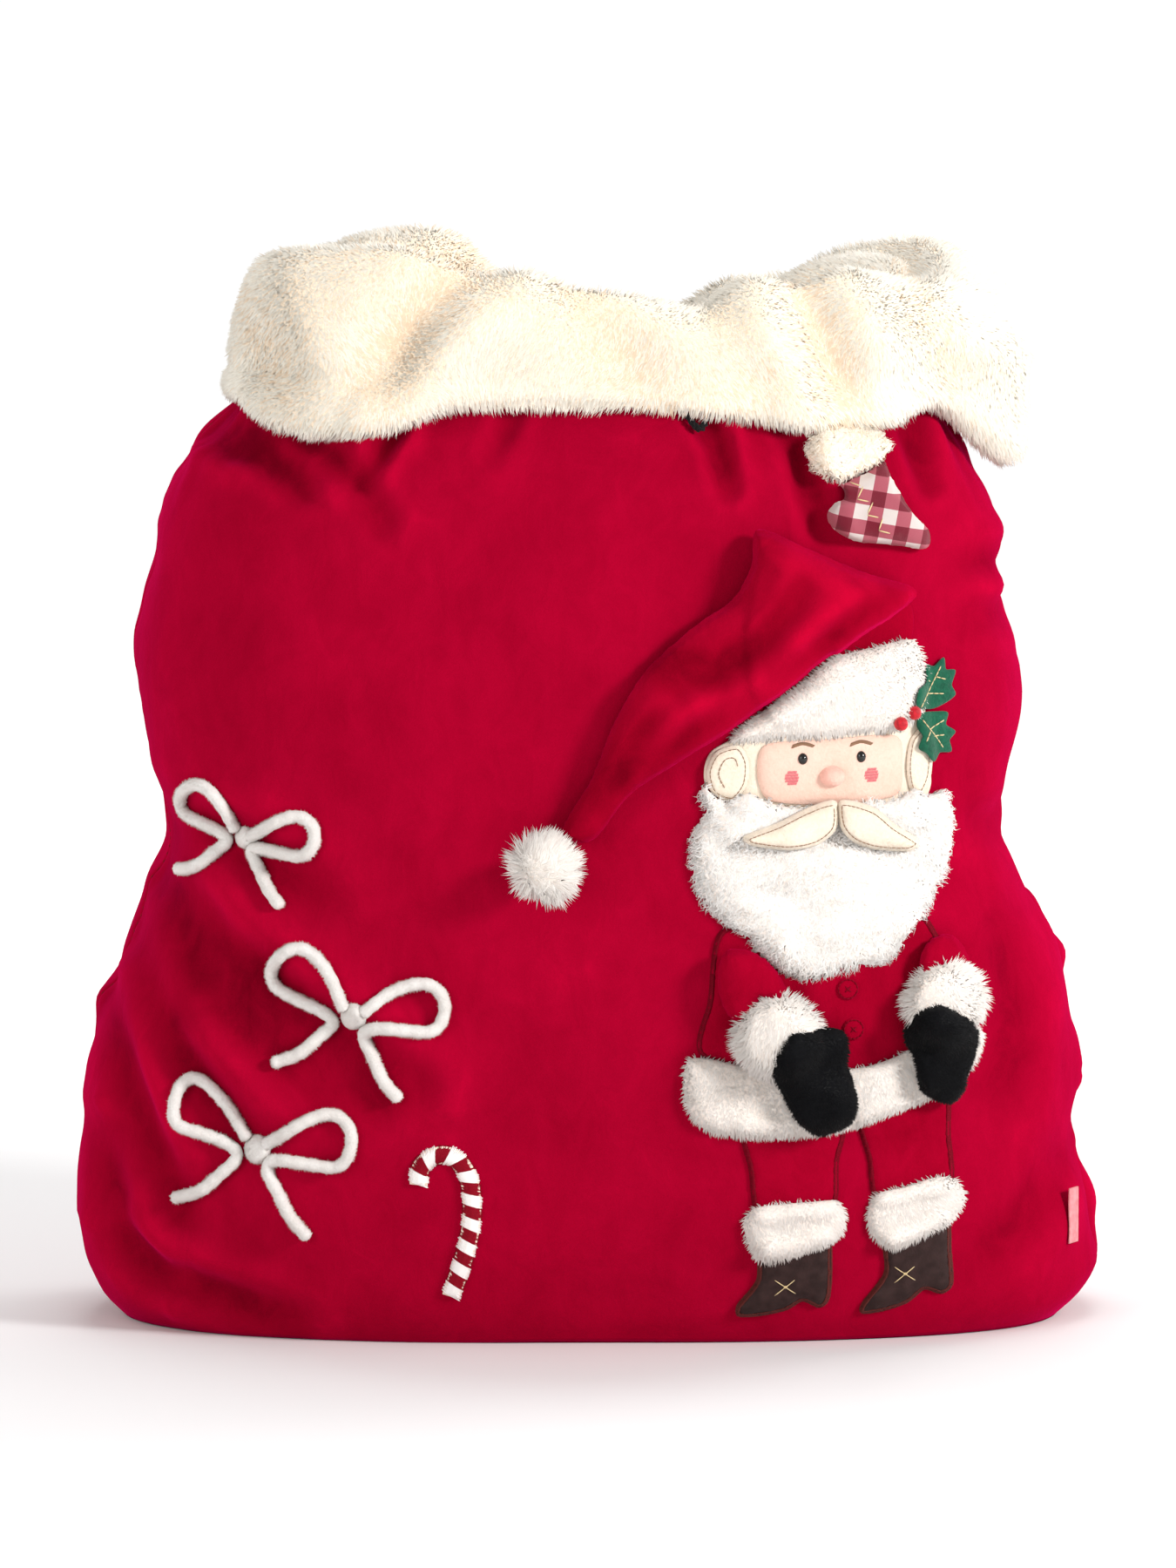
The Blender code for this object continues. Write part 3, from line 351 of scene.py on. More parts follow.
def fur_mats(name, shades, rough=0.85, sheen=0.25, specular=0.12, subsurface=0.0):
    """Shades of one pile: each strand has a slightly uneven gloss along it, as brushed fibres do."""
    found = []
    for i, c in enumerate(shades):
        mat = new_mat(f"{name}_{i}", c, rough, sheen, (1, 0.98, 0.95), 0.5, specular=specular, subsurface=subsurface)
        n = Nodes(mat)
        n.to("Roughness", n.ramp(n.noise(700.0, 2.0, 0.6), ((0.3, rough * 0.85), (0.7, min(1.0, rough * 1.12)))))
        n.to("Sheen Weight", n.ramp(n.noise(240.0, 2.0), ((0.3, sheen * 0.7), (0.7, sheen * 1.3))))
        found.append(mat)
    return found


VELVET_LOW, VELVET_HIGH = (0.262, 0.0006, 0.0140), (0.340, 0.0010, 0.0200)
M_VELVET = velvet("velvet_red", VELVET_LOW, VELVET_HIGH)
# velvet_wall: colour carries painted fold shade and painted ridge highlight from the nap attribute
M_VELVET_WALL = velvet("velvet_wall", VELVET_LOW, VELVET_HIGH, folds=True)
M_VELVET_HAT = velvet("velvet_hat", (0.235, 0.0006, 0.0110), (0.330, 0.0010, 0.0170), 50.0, 0.34)
# velvet_tail: colour carries painted fold shade, painted ridge highlight and a painted light gradient from the nap
# attribute
M_VELVET_TAIL = velvet("velvet_tail", (0.235, 0.0006, 0.0110), (0.320, 0.0010, 0.0165), 50.0, 0.38, folds=True)
M_VELVET_COAT = velvet("velvet_coat", (0.25, 0.0006, 0.012), (0.33, 0.0010, 0.018), 80.0, 0.30)
M_LINING = new_mat("lining_satin", (0.42, 0.005, 0.03), 0.5, 0.1, (1, 0.5, 0.5), 0.3, specular=0.4)
_n = Nodes(M_LINING)
_n.to("Normal", _n.bump(_n.maths("ADD", _n.wave(900.0, "X"), _n.wave(900.0, "Z")), 0.00012, 0.5, _n.bump(_n.noise(45.0, 3.0, 0.6, 1.0), 0.002, 0.5)))
_n.to("Base Color", _n.ramp(_n.noise(120.0, 3.0), ((0.35, (0.34, 0.004, 0.024)), (0.65, (0.46, 0.006, 0.034)))))
M_HIDE = fleece("plush_backing_cream", (0.80, 0.64, 0.48), (0.89, 0.76, 0.61), 260.0, 0.0012, 0.25)
M_HIDE_WHITE = fleece("plush_backing_white", (0.78, 0.68, 0.61), (0.88, 0.81, 0.75), 260.0, 0.0010)
M_HIDE_BLACK = fleece("plush_backing_black", (0.002, 0.002, 0.0025), (0.006, 0.006, 0.007), 320.0, 0.0005, 0.02)
M_FLEECE = fleece("fleece_beige", (0.72, 0.61, 0.48), (0.80, 0.70, 0.58))
M_FACE = fleece("fleece_skin", (0.74, 0.47, 0.37), (0.81, 0.55, 0.45), 380.0, 0.0004)
M_NOSE = fleece("fleece_nose", (0.78, 0.40, 0.32), (0.86, 0.50, 0.41), 420.0, 0.0004)
M_FELT = fleece("felt_green", (0.006, 0.062, 0.034), (0.012, 0.115, 0.062), 300.0, 0.0005, 0.2)
M_THREAD_RED = thread_mat("thread_dark_red", (0.185, 0.001, 0.011), 0.7, 0.0, 0.08)
M_THREAD_SEAM = thread_mat("thread_seam_red", (0.20, 0.0008, 0.010), 0.7, 0.0, 0.08)
M_THREAD_CANE = thread_mat("thread_cane_red", (0.26, 0.001, 0.012), 0.6, 0.0, 0.12)
M_THREAD_BROWN = thread_mat("thread_brown", (0.27, 0.15, 0.09), 0.6, 0.1, 0.15)
M_THREAD_GOLD = thread_mat("thread_gold", (0.66, 0.50, 0.26), 0.4)
M_THREAD_PINK = thread_mat("thread_pink", (0.74, 0.20, 0.22))
M_THREAD_CREAM = thread_mat("thread_cream", (0.84, 0.74, 0.58))
M_THREAD_BOOT = thread_mat("thread_boot", (0.105, 0.018, 0.014), 0.6, 0.05, 0.15)
M_BEAD = new_mat("bead_black", (0.008, 0.007, 0.007), 0.16, specular=0.5)
_n = Nodes(M_BEAD)
_n.to("Roughness", _n.ramp(_n.noise(900.0, 2.0), ((0.3, 0.10), (0.7, 0.24))))
M_BERRY = new_mat("berry_red", (0.48, 0.006, 0.014), 0.5, 0.4, (1, 0.5, 0.5), 0.4)
_n = Nodes(M_BERRY)
_n.to("Normal", _n.bump(_n.noise(1400.0, 3.0, 0.6), 0.0003, 0.7))
_n.to("Base Color", _n.ramp(_n.noise(500.0, 2.0), ((0.35, (0.36, 0.004, 0.012)), (0.65, (0.56, 0.01, 0.02)))))
M_BOOT = new_mat("leatherette_brown", (0.045, 0.016, 0.013), 0.6, specular=0.14)
_n = Nodes(M_BOOT)
_cells = _n.voronoi(900.0, "SMOOTH_F1")
_n.to("Normal", _n.bump(_cells, 0.00022, 0.6, _n.bump(_n.noise(180.0, 3.0), 0.0005, 0.3)))
_n.to("Base Color", _n.ramp(_n.noise(160.0, 4.0), ((0.35, (0.022, 0.0105, 0.0095)), (0.68, (0.037, 0.0185, 0.0170)))))
_n.to("Roughness", _n.ramp(_n.noise(300.0, 2.0), ((0.3, 0.52), (0.7, 0.72))))
M_CORD_BLACK = new_mat("braid_black", (0.005, 0.0045, 0.005), 0.8, 0.04, (1, 1, 1), 0.4)
_n = Nodes(M_CORD_BLACK)
_n.to("Normal", _n.bump(_n.wave(700.0, "DIAGONAL", 1.0), 0.0004, 0.8))
M_CHENILLE = fleece("chenille_white", (0.64, 0.60, 0.565), (0.77, 0.74, 0.71), 500.0, 0.0006)
M_TAG = new_mat("ribbon_rose", (0.72, 0.25, 0.27), 0.55, 0.2, (1, 0.8, 0.8), 0.4)
_n = Nodes(M_TAG)
_n.to("Normal", _n.bump(_n.maths("ADD", _n.wave(1100.0, "Z"), _n.wave(1100.0, "X")), 0.00010, 0.7))
_n.to("Base Color", _n.ramp(_n.noise(220.0, 3.0), ((0.35, (0.62, 0.18, 0.20)), (0.65, (0.76, 0.30, 0.31)))))


# ------------------------------------------------------------------ meshes
def build(name, verts, faces, mats, body="sack", smooth=True, index=None, closed_out=True):
    """A piece from millimetre points, with its material or materials, riding on a body."""
    mesh = bpy.data.meshes.new(name)
    verts = np.asarray(verts, float) * MM
    if isinstance(faces, np.ndarray):
        k = faces.shape[1]
        mesh.vertices.add(len(verts))
        mesh.vertices.foreach_set("co", verts.astype(np.float32).ravel())
        mesh.loops.add(faces.size)
        mesh.loops.foreach_set("vertex_index", faces.astype(np.int32).ravel())
        mesh.polygons.add(len(faces))
        mesh.polygons.foreach_set("loop_start", np.arange(0, faces.size, k, dtype=np.int32))
        mesh.update(calc_edges=True)
    else:
        mesh.from_pydata([tuple(v) for v in verts], [], faces)
    if closed_out:
        bm = bmesh.new()
        bm.from_mesh(mesh)
        bmesh.ops.recalc_face_normals(bm, faces=bm.faces)
        if bm.calc_volume(signed=True) < 0:
            bmesh.ops.reverse_faces(bm, faces=bm.faces)
        bm.to_mesh(mesh)
        bm.free()
    for m in mats if isinstance(mats, (list, tuple)) else [mats]:
        mesh.materials.append(m)
    if index is not None:
        mesh.polygons.foreach_set("material_index", np.asarray(index, np.int32))
    mesh.polygons.foreach_set("use_smooth", [smooth] * len(mesh.polygons))
    mesh.update()
    obj = bpy.data.objects.new(name, mesh)
    bpy.context.scene.collection.objects.link(obj)
    if body:
        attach(obj, body)
    return obj


def grid(rows, columns, closed=False, first=0):
    r = np.arange(rows - 1)[:, None]
    c = np.arange(columns if closed else columns - 1)[None, :]
    d = (c + 1) % columns
    f = np.stack([r * columns + c, r * columns + d, (r + 1) * columns + d, (r + 1) * columns + c], axis=-1)
    return f.reshape(-1, 4) + first


def points_of(obj):
    p = np.empty(len(obj.data.vertices) * 3, np.float32)
    obj.data.vertices.foreach_get("co", p)
    return p.reshape(-1, 3).astype(float) / MM


def skin_normals(p, rows, columns, closed):
    """Unit normals of a grid of points."""
    g = p.reshape(rows, columns, 3)
    if closed:
        du = np.roll(g, -1, 1) - np.roll(g, 1, 1)
    else:
        du = np.gradient(g, axis=1)
    dv = np.gradient(g, axis=0)
    n = np.cross(du, dv)
    n /= np.maximum(np.linalg.norm(n, axis=2), 1e-9)[..., None]
    return n.reshape(-1, 3)


def wall(name, start, end, columns, heights, node, seed, front):
    """One velvet wall: the bag's skin with its folds, turned in at the mouth and given the thickness of the cloth."""
    angles, total = even_angles(start, end, columns)
    z = np.repeat(heights, len(angles))
    a = np.tile(angles, len(heights))
    x, y = ring_point(a, z)
    p = np.stack([x, y, z], axis=1)
    n = skin_normals(p, len(heights), len(angles), False)
    middle = np.array([0, 0, 0])
    if ((p - middle)[:, :2] * n[:, :2]).sum() < 0:
        n = -n
    run = np.tile(np.linspace(0, total, len(angles)), len(heights))
    edge = np.minimum(run, total - run)
    shared = (1.6 * FIELD_C(p) + 0.8 * FIELD_A(p) + 0.25 * FIELD_B(p)) * np.clip((490 - z) / 60, 0.35, 1)
    own = np.zeros(len(p))
    if front:
        quiet = calm(x, z)
        shared = shared * (0.2 + 0.8 * quiet)
        own += front_folds(x, z) * (0.10 + 0.90 * quiet)
        gathered = 0.14 + 0.5 * np.clip((-x - 92) / 50, 0, 1) + 0.6 * np.exp(-((x - 80) / 28) ** 2) + 0.7 * np.clip((x - 150) / 40, 0, 1)
        own += pleats(run, z, seed) * np.maximum(quiet, 0.5) * np.minimum(1, gathered)
    else:
        own += pleats(run, z, seed)
        for path, width, depth, ridge in CREASES[:7]:
            far, along, side = to_line(-x * 0.98, z, path)
            fade = np.clip(1.15 - np.abs(along - 0.42) * 1.35, 0, 1) ** 0.8
            t = far / width
            own += 1.7 * fade * depth * 0.9 * (-np.exp(-t * t) + ridge * np.exp(-((t - 1.75) / 0.8) ** 2))
    own = own * (1 - np.exp(-(edge / 9) ** 2))
    d = shared + own + side_folds(x, z) * np.exp(-(edge / 34) ** 2)
    # the seam pulls the cloth in a little, with short puckers beside it
    d += -1.5 * np.exp(-(edge / 2.6) ** 2) + 0.35 * np.exp(-(edge / 9) ** 2) * np.sin(z / 2.6 + np.sin(z / 17) * 2)
    low = np.clip(z / 26, 0, 1)
    d = d * (0.25 + 0.75 * low) - 1.2
    limit = 5.4 + 7.0 * np.clip((476 - z) / 40, 0, 1)
    d = np.where(d < 0, -limit * np.tanh(-d / limit), d)
    p = p + n * d[:, None]
    p[:, 2] = np.maximum(p[:, 2], z * 0 + np.where(z < 1, 0.3, 0.6))
    rows, across = len(heights), len(angles)
    inner = p - n * 1.7
    inner[:, 2] = np.maximum(inner[:, 2], 0.6)
    faces = [grid(rows, across), grid(rows, across, first=rows * across)[:, ::-1]]
    m = rows * across
    for r in (0, rows - 1):
        c = np.arange(across - 1) + r * across
        faces.append(np.stack([c, c + 1, c + 1 + m, c + m], axis=1))
    for c in (0, across - 1):
        r = np.arange(rows - 1) * across + c
        faces.append(np.stack([r, r + across, r + across + m, r + m], axis=1))
    obj = build(name, np.concatenate([p, inner]), np.concatenate(faces), M_VELVET_WALL)
    # painted shading from the folds: darker colour in valleys, lighter on ridges, stored for the velvet's colour
    painted_fold_shade = 0.5 + 0.5 * np.tanh((own + 0.8) / 5.5)
    set_painted_shading(obj, np.tile(painted_fold_shade, 2))
    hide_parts(node)
    return obj, p.reshape(rows, across, 3)


SEAM_ANGLE = 0.0009
HEIGHTS = np.concatenate([[0, 2, 4.5, 8, 12], np.linspace(16, 400, 118), np.linspace(402.5, PANEL_TOP, 44)])
front_skin, front_grid = wall("velvet_front", -math.pi + SEAM_ANGLE, -SEAM_ANGLE, 230, HEIGHTS, "front_panel", 3, True)
back_skin, back_grid = wall("velvet_back", SEAM_ANGLE, math.pi - SEAM_ANGLE, 190, HEIGHTS[::1][np.r_[0:5, 5:167:1]][:167], "back_panel", 4, False)

# ------------------------------------------------------------------ a height map of the front, for what is sewn on it
X0, X1, Z0, Z1 = -262, 262, 2, 500
depsgraph = None
tree = BVHTree.FromPolygons([Vector(v) for v in front_grid.reshape(-1, 3)],
                            [tuple(int(i) for i in f) for f in grid(*front_grid.shape[:2])])
gx = np.arange(X0, X1 + 1, 1.0)
gz = np.arange(Z0, Z1 + 1, 1.0)
SKIN = np.full((len(gz), len(gx)), np.nan)
ray = Vector((0, 1, 0))
for i, zz in enumerate(gz):
    for j, xx in enumerate(gx):
        hit = tree.ray_cast(Vector((xx, -400, zz)), ray)
        if hit[0] is not None:
            SKIN[i, j] = hit[0].y
# rows are closed off sideways beyond the silhouette
for i in range(len(gz)):
    ok = np.where(~np.isnan(SKIN[i]))[0]
    if len(ok):
        SKIN[i, : ok[0]] = SKIN[i, ok[0]]
        SKIN[i, ok[-1] + 1:] = SKIN[i, ok[-1]]
for i in range(len(gz)):
    if np.isnan(SKIN[i]).any():
        SKIN[i] = SKIN[i - 1] if i else SKIN[i + 1]
TOP = np.zeros_like(SKIN)  # height of what is sewn on so far
TOPS = {}


def sample(field, x, z):
    u = np.clip((np.asarray(x, float) - X0), 0, len(gx) - 1.001)
    v = np.clip((np.asarray(z, float) - Z0), 0, len(gz) - 1.001)
    i, j = v.astype(int), u.astype(int)
    s, t = v - i, u - j
    return (field[i, j] * (1 - s) * (1 - t) + field[i, j + 1] * (1 - s) * t
            + field[i + 1, j] * s * (1 - t) + field[i + 1, j + 1] * s * t)


def inside_outline(x, z, outline):
    found = np.zeros(x.shape, bool)
    o = np.asarray(outline, float)
    for (x0, z0), (x1, z1) in zip(o, np.roll(o, -1, axis=0)):
        if z0 == z1:
            continue
        crossing = ((z0 > z) != (z1 > z)) & (x < (x1 - x0) * (z - z0) / (z1 - z0) + x0)
        found ^= crossing
    return found


def edge_distance(x, z, outline):
    o = list(map(tuple, outline))
    return to_line(x, z, o + o[:1])[0]


def dilate(field, reach):
    r = int(math.ceil(reach))
    found = field.copy()
    for dv in range(-r, r + 1):
        for du in range(-r, r + 1):
            if 0 < du * du + dv * dv <= reach * reach + 0.5:
                shifted = np.roll(np.roll(field, dv, 0), du, 1)
                found = np.maximum(found, shifted)
    return found


def blur(field, times=2):
    for _ in range(times):
        field = (field * 2 + np.roll(field, 1, 0) + np.roll(field, -1, 0) + np.roll(field, 1, 1) + np.roll(field, -1, 1)) / 6
    return field


def smooth_outline(corners, step=2.0):
    n = len(corners)
    found = []
    for i in range(n):
        p0, p1, p2, p3 = (np.array(corners[(i + k) % n], float) for k in (-1, 0, 1, 2))
        length = np.linalg.norm(p2 - p1)
        parts = max(1, round(length / step))
        m1, m2 = (p2 - p0) * 0.42, (p3 - p1) * 0.42
        m1 = m1 * min(1, length * 0.9 / max(np.linalg.norm(m1), 1e-6))
        m2 = m2 * min(1, length * 0.9 / max(np.linalg.norm(m2), 1e-6))
        for k in range(parts):
            t = k / parts
            found.append(tuple(p1 * (1 + 2 * t) * (1 - t) ** 2 + p2 * t * t * (3 - 2 * t)
                               + m1 * t * (1 - t) ** 2 + m2 * t * t * (t - 1)))
    return found


def curve(points, step=2.0):
    """An open smooth line through points of any dimension."""
    n = len(points)
    line = []
    for i in range(n - 1):
        p0, p1, p2, p3 = (np.array(points[max(0, min(n - 1, i + k))], float) for k in (-1, 0, 1, 2))
        parts = max(1, round(float(np.linalg.norm(p2 - p1)) / step))
        for k in range(parts):
            t = k / parts
            line.append(0.5 * (2 * p1 + (p2 - p0) * t + (2 * p0 - 5 * p1 + 4 * p2 - p3) * t * t + (3 * p1 - p0 - 3 * p2 + p3) * t ** 3))
    line.append(np.array(points[-1], float))
    return np.array(line)


def circle(cx, cz, rx, rz=None, count=40, turn=0.0):
    rz = rz or rx
    t = np.linspace(0, 2 * math.pi, count, endpoint=False)
    x, z = rx * np.cos(t), rz * np.sin(t)
    return list(zip(cx + x * math.cos(turn) - z * math.sin(turn), cz + x * math.sin(turn) + z * math.cos(turn)))


def plate(name, outline, edge, middle, mats, under=(), width=10.0, step=2.6, reach=2.5, lift=0.0, body="sack", node=None,
          shape=None, least=0.0, taper=None, record=True, gap=0.1, round_back=False, smoothing=3):
    """A sewn-on piece that lies on the velvet and on what is under it; `shape` adds folds to its top."""
    global TOP
    o = np.array(outline, float)
    coords = [Vector(p) for p in outline]
    row = 0
    z = o[:, 1].min() + step * 0.5
    xs, zs = [], []
    while z < o[:, 1].max():
        x = np.arange(o[:, 0].min() + (step * 0.25 if row % 2 else step * 0.75), o[:, 0].max(), step)
        xs.append(x)
        zs.append(np.full(x.shape, z))
        z += step * 0.87
        row += 1
    xs, zs = np.concatenate(xs), np.concatenate(zs)
    keep = inside_outline(xs, zs, outline)
    keep &= edge_distance(xs, zs, outline) > step * 0.4
    rings = []
    coords += [Vector(p) for p in zip(xs[keep], zs[keep])]
    points, _, tris, _, _, _ = delaunay_2d_cdt(coords, [], [list(range(len(outline)))], 1, 1e-6)
    q = np.array([(p.x, p.y) for p in points])

    if under:
        base = np.maximum.reduce([TOPS[u] for u in under])
        base = blur(dilate(base, reach), smoothing)
    else:
        base = np.zeros_like(SKIN)

    def low(x, z):
        h = sample(base, x, z)
        return np.maximum(h + gap, least) + lift

    def thick(x, z):
        d = np.minimum(edge_distance(x, z, outline), width) / width
        t = edge + (middle - edge) * np.sqrt(np.maximum(0, 1 - (1 - d) ** 2))
        if taper is not None:
            t = t * taper(x, z)
        if shape is not None:
            t = np.maximum(t + shape(x, z) * np.minimum(1, d * 1.6), edge * 0.5)
        return t

    if record:
        i0, i1 = int(max(0, o[:, 1].min() - Z0 - 2)), int(min(len(gz), o[:, 1].max() - Z0 + 3))
        j0, j1 = int(max(0, o[:, 0].min() - X0 - 2)), int(min(len(gx), o[:, 0].max() - X0 + 3))
        zz, xx = np.meshgrid(gz[i0:i1], gx[j0:j1], indexing="ij")
        m = inside_outline(xx.ravel(), zz.ravel(), outline).reshape(xx.shape)
        h = np.zeros(xx.shape)
        h[m] = low(xx[m], zz[m]) + thick(xx[m], zz[m])
        TOPS[name] = np.zeros_like(SKIN)
        TOPS[name][i0:i1, j0:j1] = h
        if body == "sack":
            TOP = np.maximum(TOP, TOPS[name])
    y = sample(SKIN, q[:, 0], q[:, 1])
    l = low(q[:, 0], q[:, 1])
    t = thick(q[:, 0], q[:, 1])
    n = len(q)
    if round_back:
        # a stuffed piece bulges behind as well: its rim sits at mid thickness
        rim = np.clip(1 - edge_distance(q[:, 0], q[:, 1], outline) / width, 0, 1) ** 2
        l = l + rim * (middle - edge) * 0.38 * (taper(q[:, 0], q[:, 1]) if taper is not None else 1)
    lows = np.stack([q[:, 0], y - l, q[:, 1]], axis=1)
    tops = np.stack([q[:, 0], y - l - t, q[:, 1]], axis=1)
    # the rim is rounded over: one more ring at half height, a little outside
    faces = [tuple(f) for f in tris] + [tuple(n + i for i in f[::-1]) for f in tris]
    count = {}
    for f in tris:
        for i in range(3):
            a, b = f[i], f[(i + 1) % 3]
            key = (min(a, b), max(a, b))
            count[key] = count.get(key, 0) + 1
    rim_edges = [k for k, v in count.items() if v == 1]
    rim_verts = sorted({v for e in rim_edges for v in e})
    where = {v: 2 * n + k for k, v in enumerate(rim_verts)}
    neighbours = {v: [] for v in rim_verts}
    for a, b in rim_edges:
        neighbours[a].append(b)
        neighbours[b].append(a)
    mids = []
    for v in rim_verts:
        mid = (lows[v] + tops[v]) / 2
        if len(neighbours[v]) == 2:
            a, b = q[neighbours[v][0]], q[neighbours[v][1]]
            along = (b - a) / max(np.linalg.norm(b - a), 1e-9)
            out = np.array([along[1], -along[0]])
            probe = q[v] + out * 0.3
            if inside_outline(np.array([probe[0]]), np.array([probe[1]]), outline)[0]:
                out = -out
            swell = min(0.35 * t[v], 1.2)
            mid = mid + np.array([out[0] * swell, 0, out[1] * swell])
        mids.append(mid)
    for a, b in rim_edges:
        faces.append((a, b, where[b], where[a]))
        faces.append((where[a], where[b], n + b, n + a))
    obj = build(name, np.concatenate([lows, tops, np.array(mids)]), faces, mats, body)
    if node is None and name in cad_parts:
        node = name
        obj.name = name + "_cloth"
    if node:
        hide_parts(node)
    return obj


SCALE_UP = 8.0  # small pads are simulated at the size of a cushion, where the cloth solver behaves


def puff(obj, voxel=2.2, pressure=4.0, cap=3.0, shrink=0.985, key=None, frames=20, tension=15.0, bending=0.6, fixed=None):
    """Blows a stuffed piece up as cloth over filling, so that its surface swells and puckers; the result is kept in the mesh."""
    scene = bpy.context.scene
    p = points_of(obj)
    middle = p.mean(axis=0)
    mesh = obj.data.copy()
    q = (p - middle) * MM * SCALE_UP * shrink
    mesh.vertices.foreach_set("co", q.astype(np.float32).ravel())
    work = bpy.data.objects.new("pad_work", mesh)
    scene.collection.objects.link(work)
    remesh = work.modifiers.new("remesh", "REMESH")
    remesh.mode = "VOXEL"
    remesh.voxel_size = voxel * MM * SCALE_UP
    bpy.context.view_layer.update()
    plain = bpy.data.meshes.new_from_object(work.evaluated_get(bpy.context.evaluated_depsgraph_get()))
    work.modifiers.clear()
    work.data = plain
    n = len(plain.vertices)
    rest = np.empty(n * 3, np.float32)
    plain.vertices.foreach_get("co", rest)
    rest = rest.reshape(-1, 3).astype(float)
    cloth = work.modifiers.new("cloth", "CLOTH")
    c = cloth.settings
    c.quality = 6
    c.mass = 0.3
    c.use_pressure = True
    c.uniform_pressure_force = pressure
    c.tension_stiffness = tension
    c.compression_stiffness = tension
    c.bending_stiffness = bending
    c.effector_weights.gravity = 0.0
    cloth.collision_settings.use_collision = False
    cloth.point_cache.frame_start, cloth.point_cache.frame_end = 1, frames
    for frame_number in range(1, frames + 1):
        scene.frame_set(frame_number)
    done = bpy.data.meshes.new_from_object(work.evaluated_get(bpy.context.evaluated_depsgraph_get()))
    moved = np.empty(n * 3, np.float32)
    done.vertices.foreach_get("co", moved)
    moved = moved.reshape(-1, 3).astype(float)
    scene.frame_set(1)
    bpy.data.objects.remove(work)
    step = (moved - rest) / (MM * SCALE_UP)
    far = np.linalg.norm(step, axis=1)
    step *= np.minimum(1, cap / np.maximum(far, 1e-6))[:, None]
    final = rest / (MM * SCALE_UP) + step
    final = final + middle
    if fixed is not None:
        hold = fixed(final)[:, None]
        final = (rest / (MM * SCALE_UP) / shrink + middle) * hold + final * (1 - hold)
    done.vertices.foreach_set("co", (final * MM).astype(np.float32).ravel())
    bm = bmesh.new()
    bm.from_mesh(done)
    bmesh.ops.subdivide_edges(bm, edges=bm.edges, cuts=1, use_grid_fill=True, smooth=0.9) if n < 9000 else None
    bmesh.ops.recalc_face_normals(bm, faces=bm.faces)
    bm.to_mesh(done)
    bm.free()
    materials = [m for m in obj.data.materials]
    done.materials.clear()
    for m in materials:
        done.materials.append(m)
    done.polygons.foreach_set("material_index", [0] * len(done.polygons))
    done.polygons.foreach_set("use_smooth", [True] * len(done.polygons))
    obj.data = done
    print("PUFF", obj.name, n, "mean", round(float(far.mean()), 2), "max", round(float(far.max()), 2))
    if key:
        field = TOPS[key]
        tree_now = BVHTree.FromPolygons([Vector(v) for v in points_of(obj)], [tuple(f.vertices) for f in done.polygons])
        for i, j in np.argwhere(dilate(np.where(field > 0, 1.0, 0.0), 3) > 0):
            hit = tree_now.ray_cast(Vector((gx[j], -400, gz[i])), ray)
            field[i, j] = SKIN[i, j] - hit[0].y if hit[0] is not None else 0.0


# ------------------------------------------------------------------ threads, cords and stitches
def tube_mesh(path, radius, sides=8, closed=False, flat=1.0, round_ends=True):
    p = np.asarray(path, float)
    count = len(p)
    if closed:
        along = np.roll(p, -1, 0) - np.roll(p, 1, 0)
    else:
        along = np.gradient(p, axis=0)
    along /= np.maximum(np.linalg.norm(along, axis=1), 1e-9)[:, None]
    lead = np.array([0, -1.0, 0]) if abs(along[:, 1]).mean() < 0.8 else np.array([0, 0, 1.0])
    normal = lead - along * (along @ lead)[:, None]
    normal /= np.maximum(np.linalg.norm(normal, axis=1), 1e-9)[:, None]
    side = np.cross(along, normal)
    r = np.broadcast_to(np.asarray(radius, float), (count,)).copy()
    if round_ends and not closed and count > 3:
        r[0] *= 0.45
        r[-1] *= 0.45
    t = np.linspace(0, 2 * math.pi, sides, endpoint=False)
    ring = (normal[:, None, :] * np.cos(t)[None, :, None] * flat + side[:, None, :] * np.sin(t)[None, :, None])
    v = p[:, None, :] + ring * r[:, None, None]
    v = v.reshape(-1, 3)
    f = []
    rows = count if closed else count - 1
    i = np.arange(rows)[:, None]
    j = (i + 1) % count
    k = np.arange(sides)[None, :]
    m = (k + 1) % sides
    quads = np.stack([i * sides + k, i * sides + m, j * sides + m, j * sides + k], axis=-1).reshape(-1, 4)
    f = [tuple(q) for q in quads.tolist()]
    if not closed:
        f.append(tuple(range(sides))[::-1])
        f.append(tuple((count - 1) * sides + q for q in range(sides)))
    return v, f


class Bundle:
    """Gathers many small shapes into one piece."""

    def __init__(self):
        self.v, self.f, self.n, self.m = [], [], 0, []

    def put(self, v, f, m=0):
        self.v.append(np.asarray(v))
        self.f.extend(tuple(i + self.n for i in q) for q in f)
        self.m.extend([m] * len(f))
        self.n += len(v)

    def make(self, name, mats, body="sack"):
        return build(name, np.concatenate(self.v), self.f, mats, body, index=self.m)


def on_top(x, z, off=0.0, field=None):
    """Points on whatever is sewn at that place."""
    x, z = np.asarray(x, float), np.asarray(z, float)
    return np.stack([x, sample(SKIN, x, z) - sample(TOP if field is None else field, x, z) - off, z], axis=-1)


def running(bundle, path, stitch=3.0, gap=1.3, radius=0.28, m=0, field=None, sink=0.25):
    """Running stitches along a line on the surface."""
    line = curve(path, 0.5) if len(path) < 400 else np.asarray(path)
    run = np.concatenate([[0], np.cumsum(np.linalg.norm(np.diff(line, axis=0), axis=1))])
    s = 0.0
    while s + stitch < run[-1]:
        u = np.linspace(s, s + stitch, 5)
        x, z = np.interp(u, run, line[:, 0]), np.interp(u, run, line[:, 1])
        lift = np.array([-sink, 0.16, 0.24, 0.16, -sink]) + radius * 0.5
        p = on_top(x, z, 0.0, field)
        p[:, 1] -= lift
        bundle.put(*tube_mesh(p, radius, 5), m=m)
        s += stitch + gap


def back_stitch(bundle, path, radius=0.3, m=0, field=None, stitch=2.2):
    running(bundle, path, stitch, 0.12, radius, m, field, 0.12)


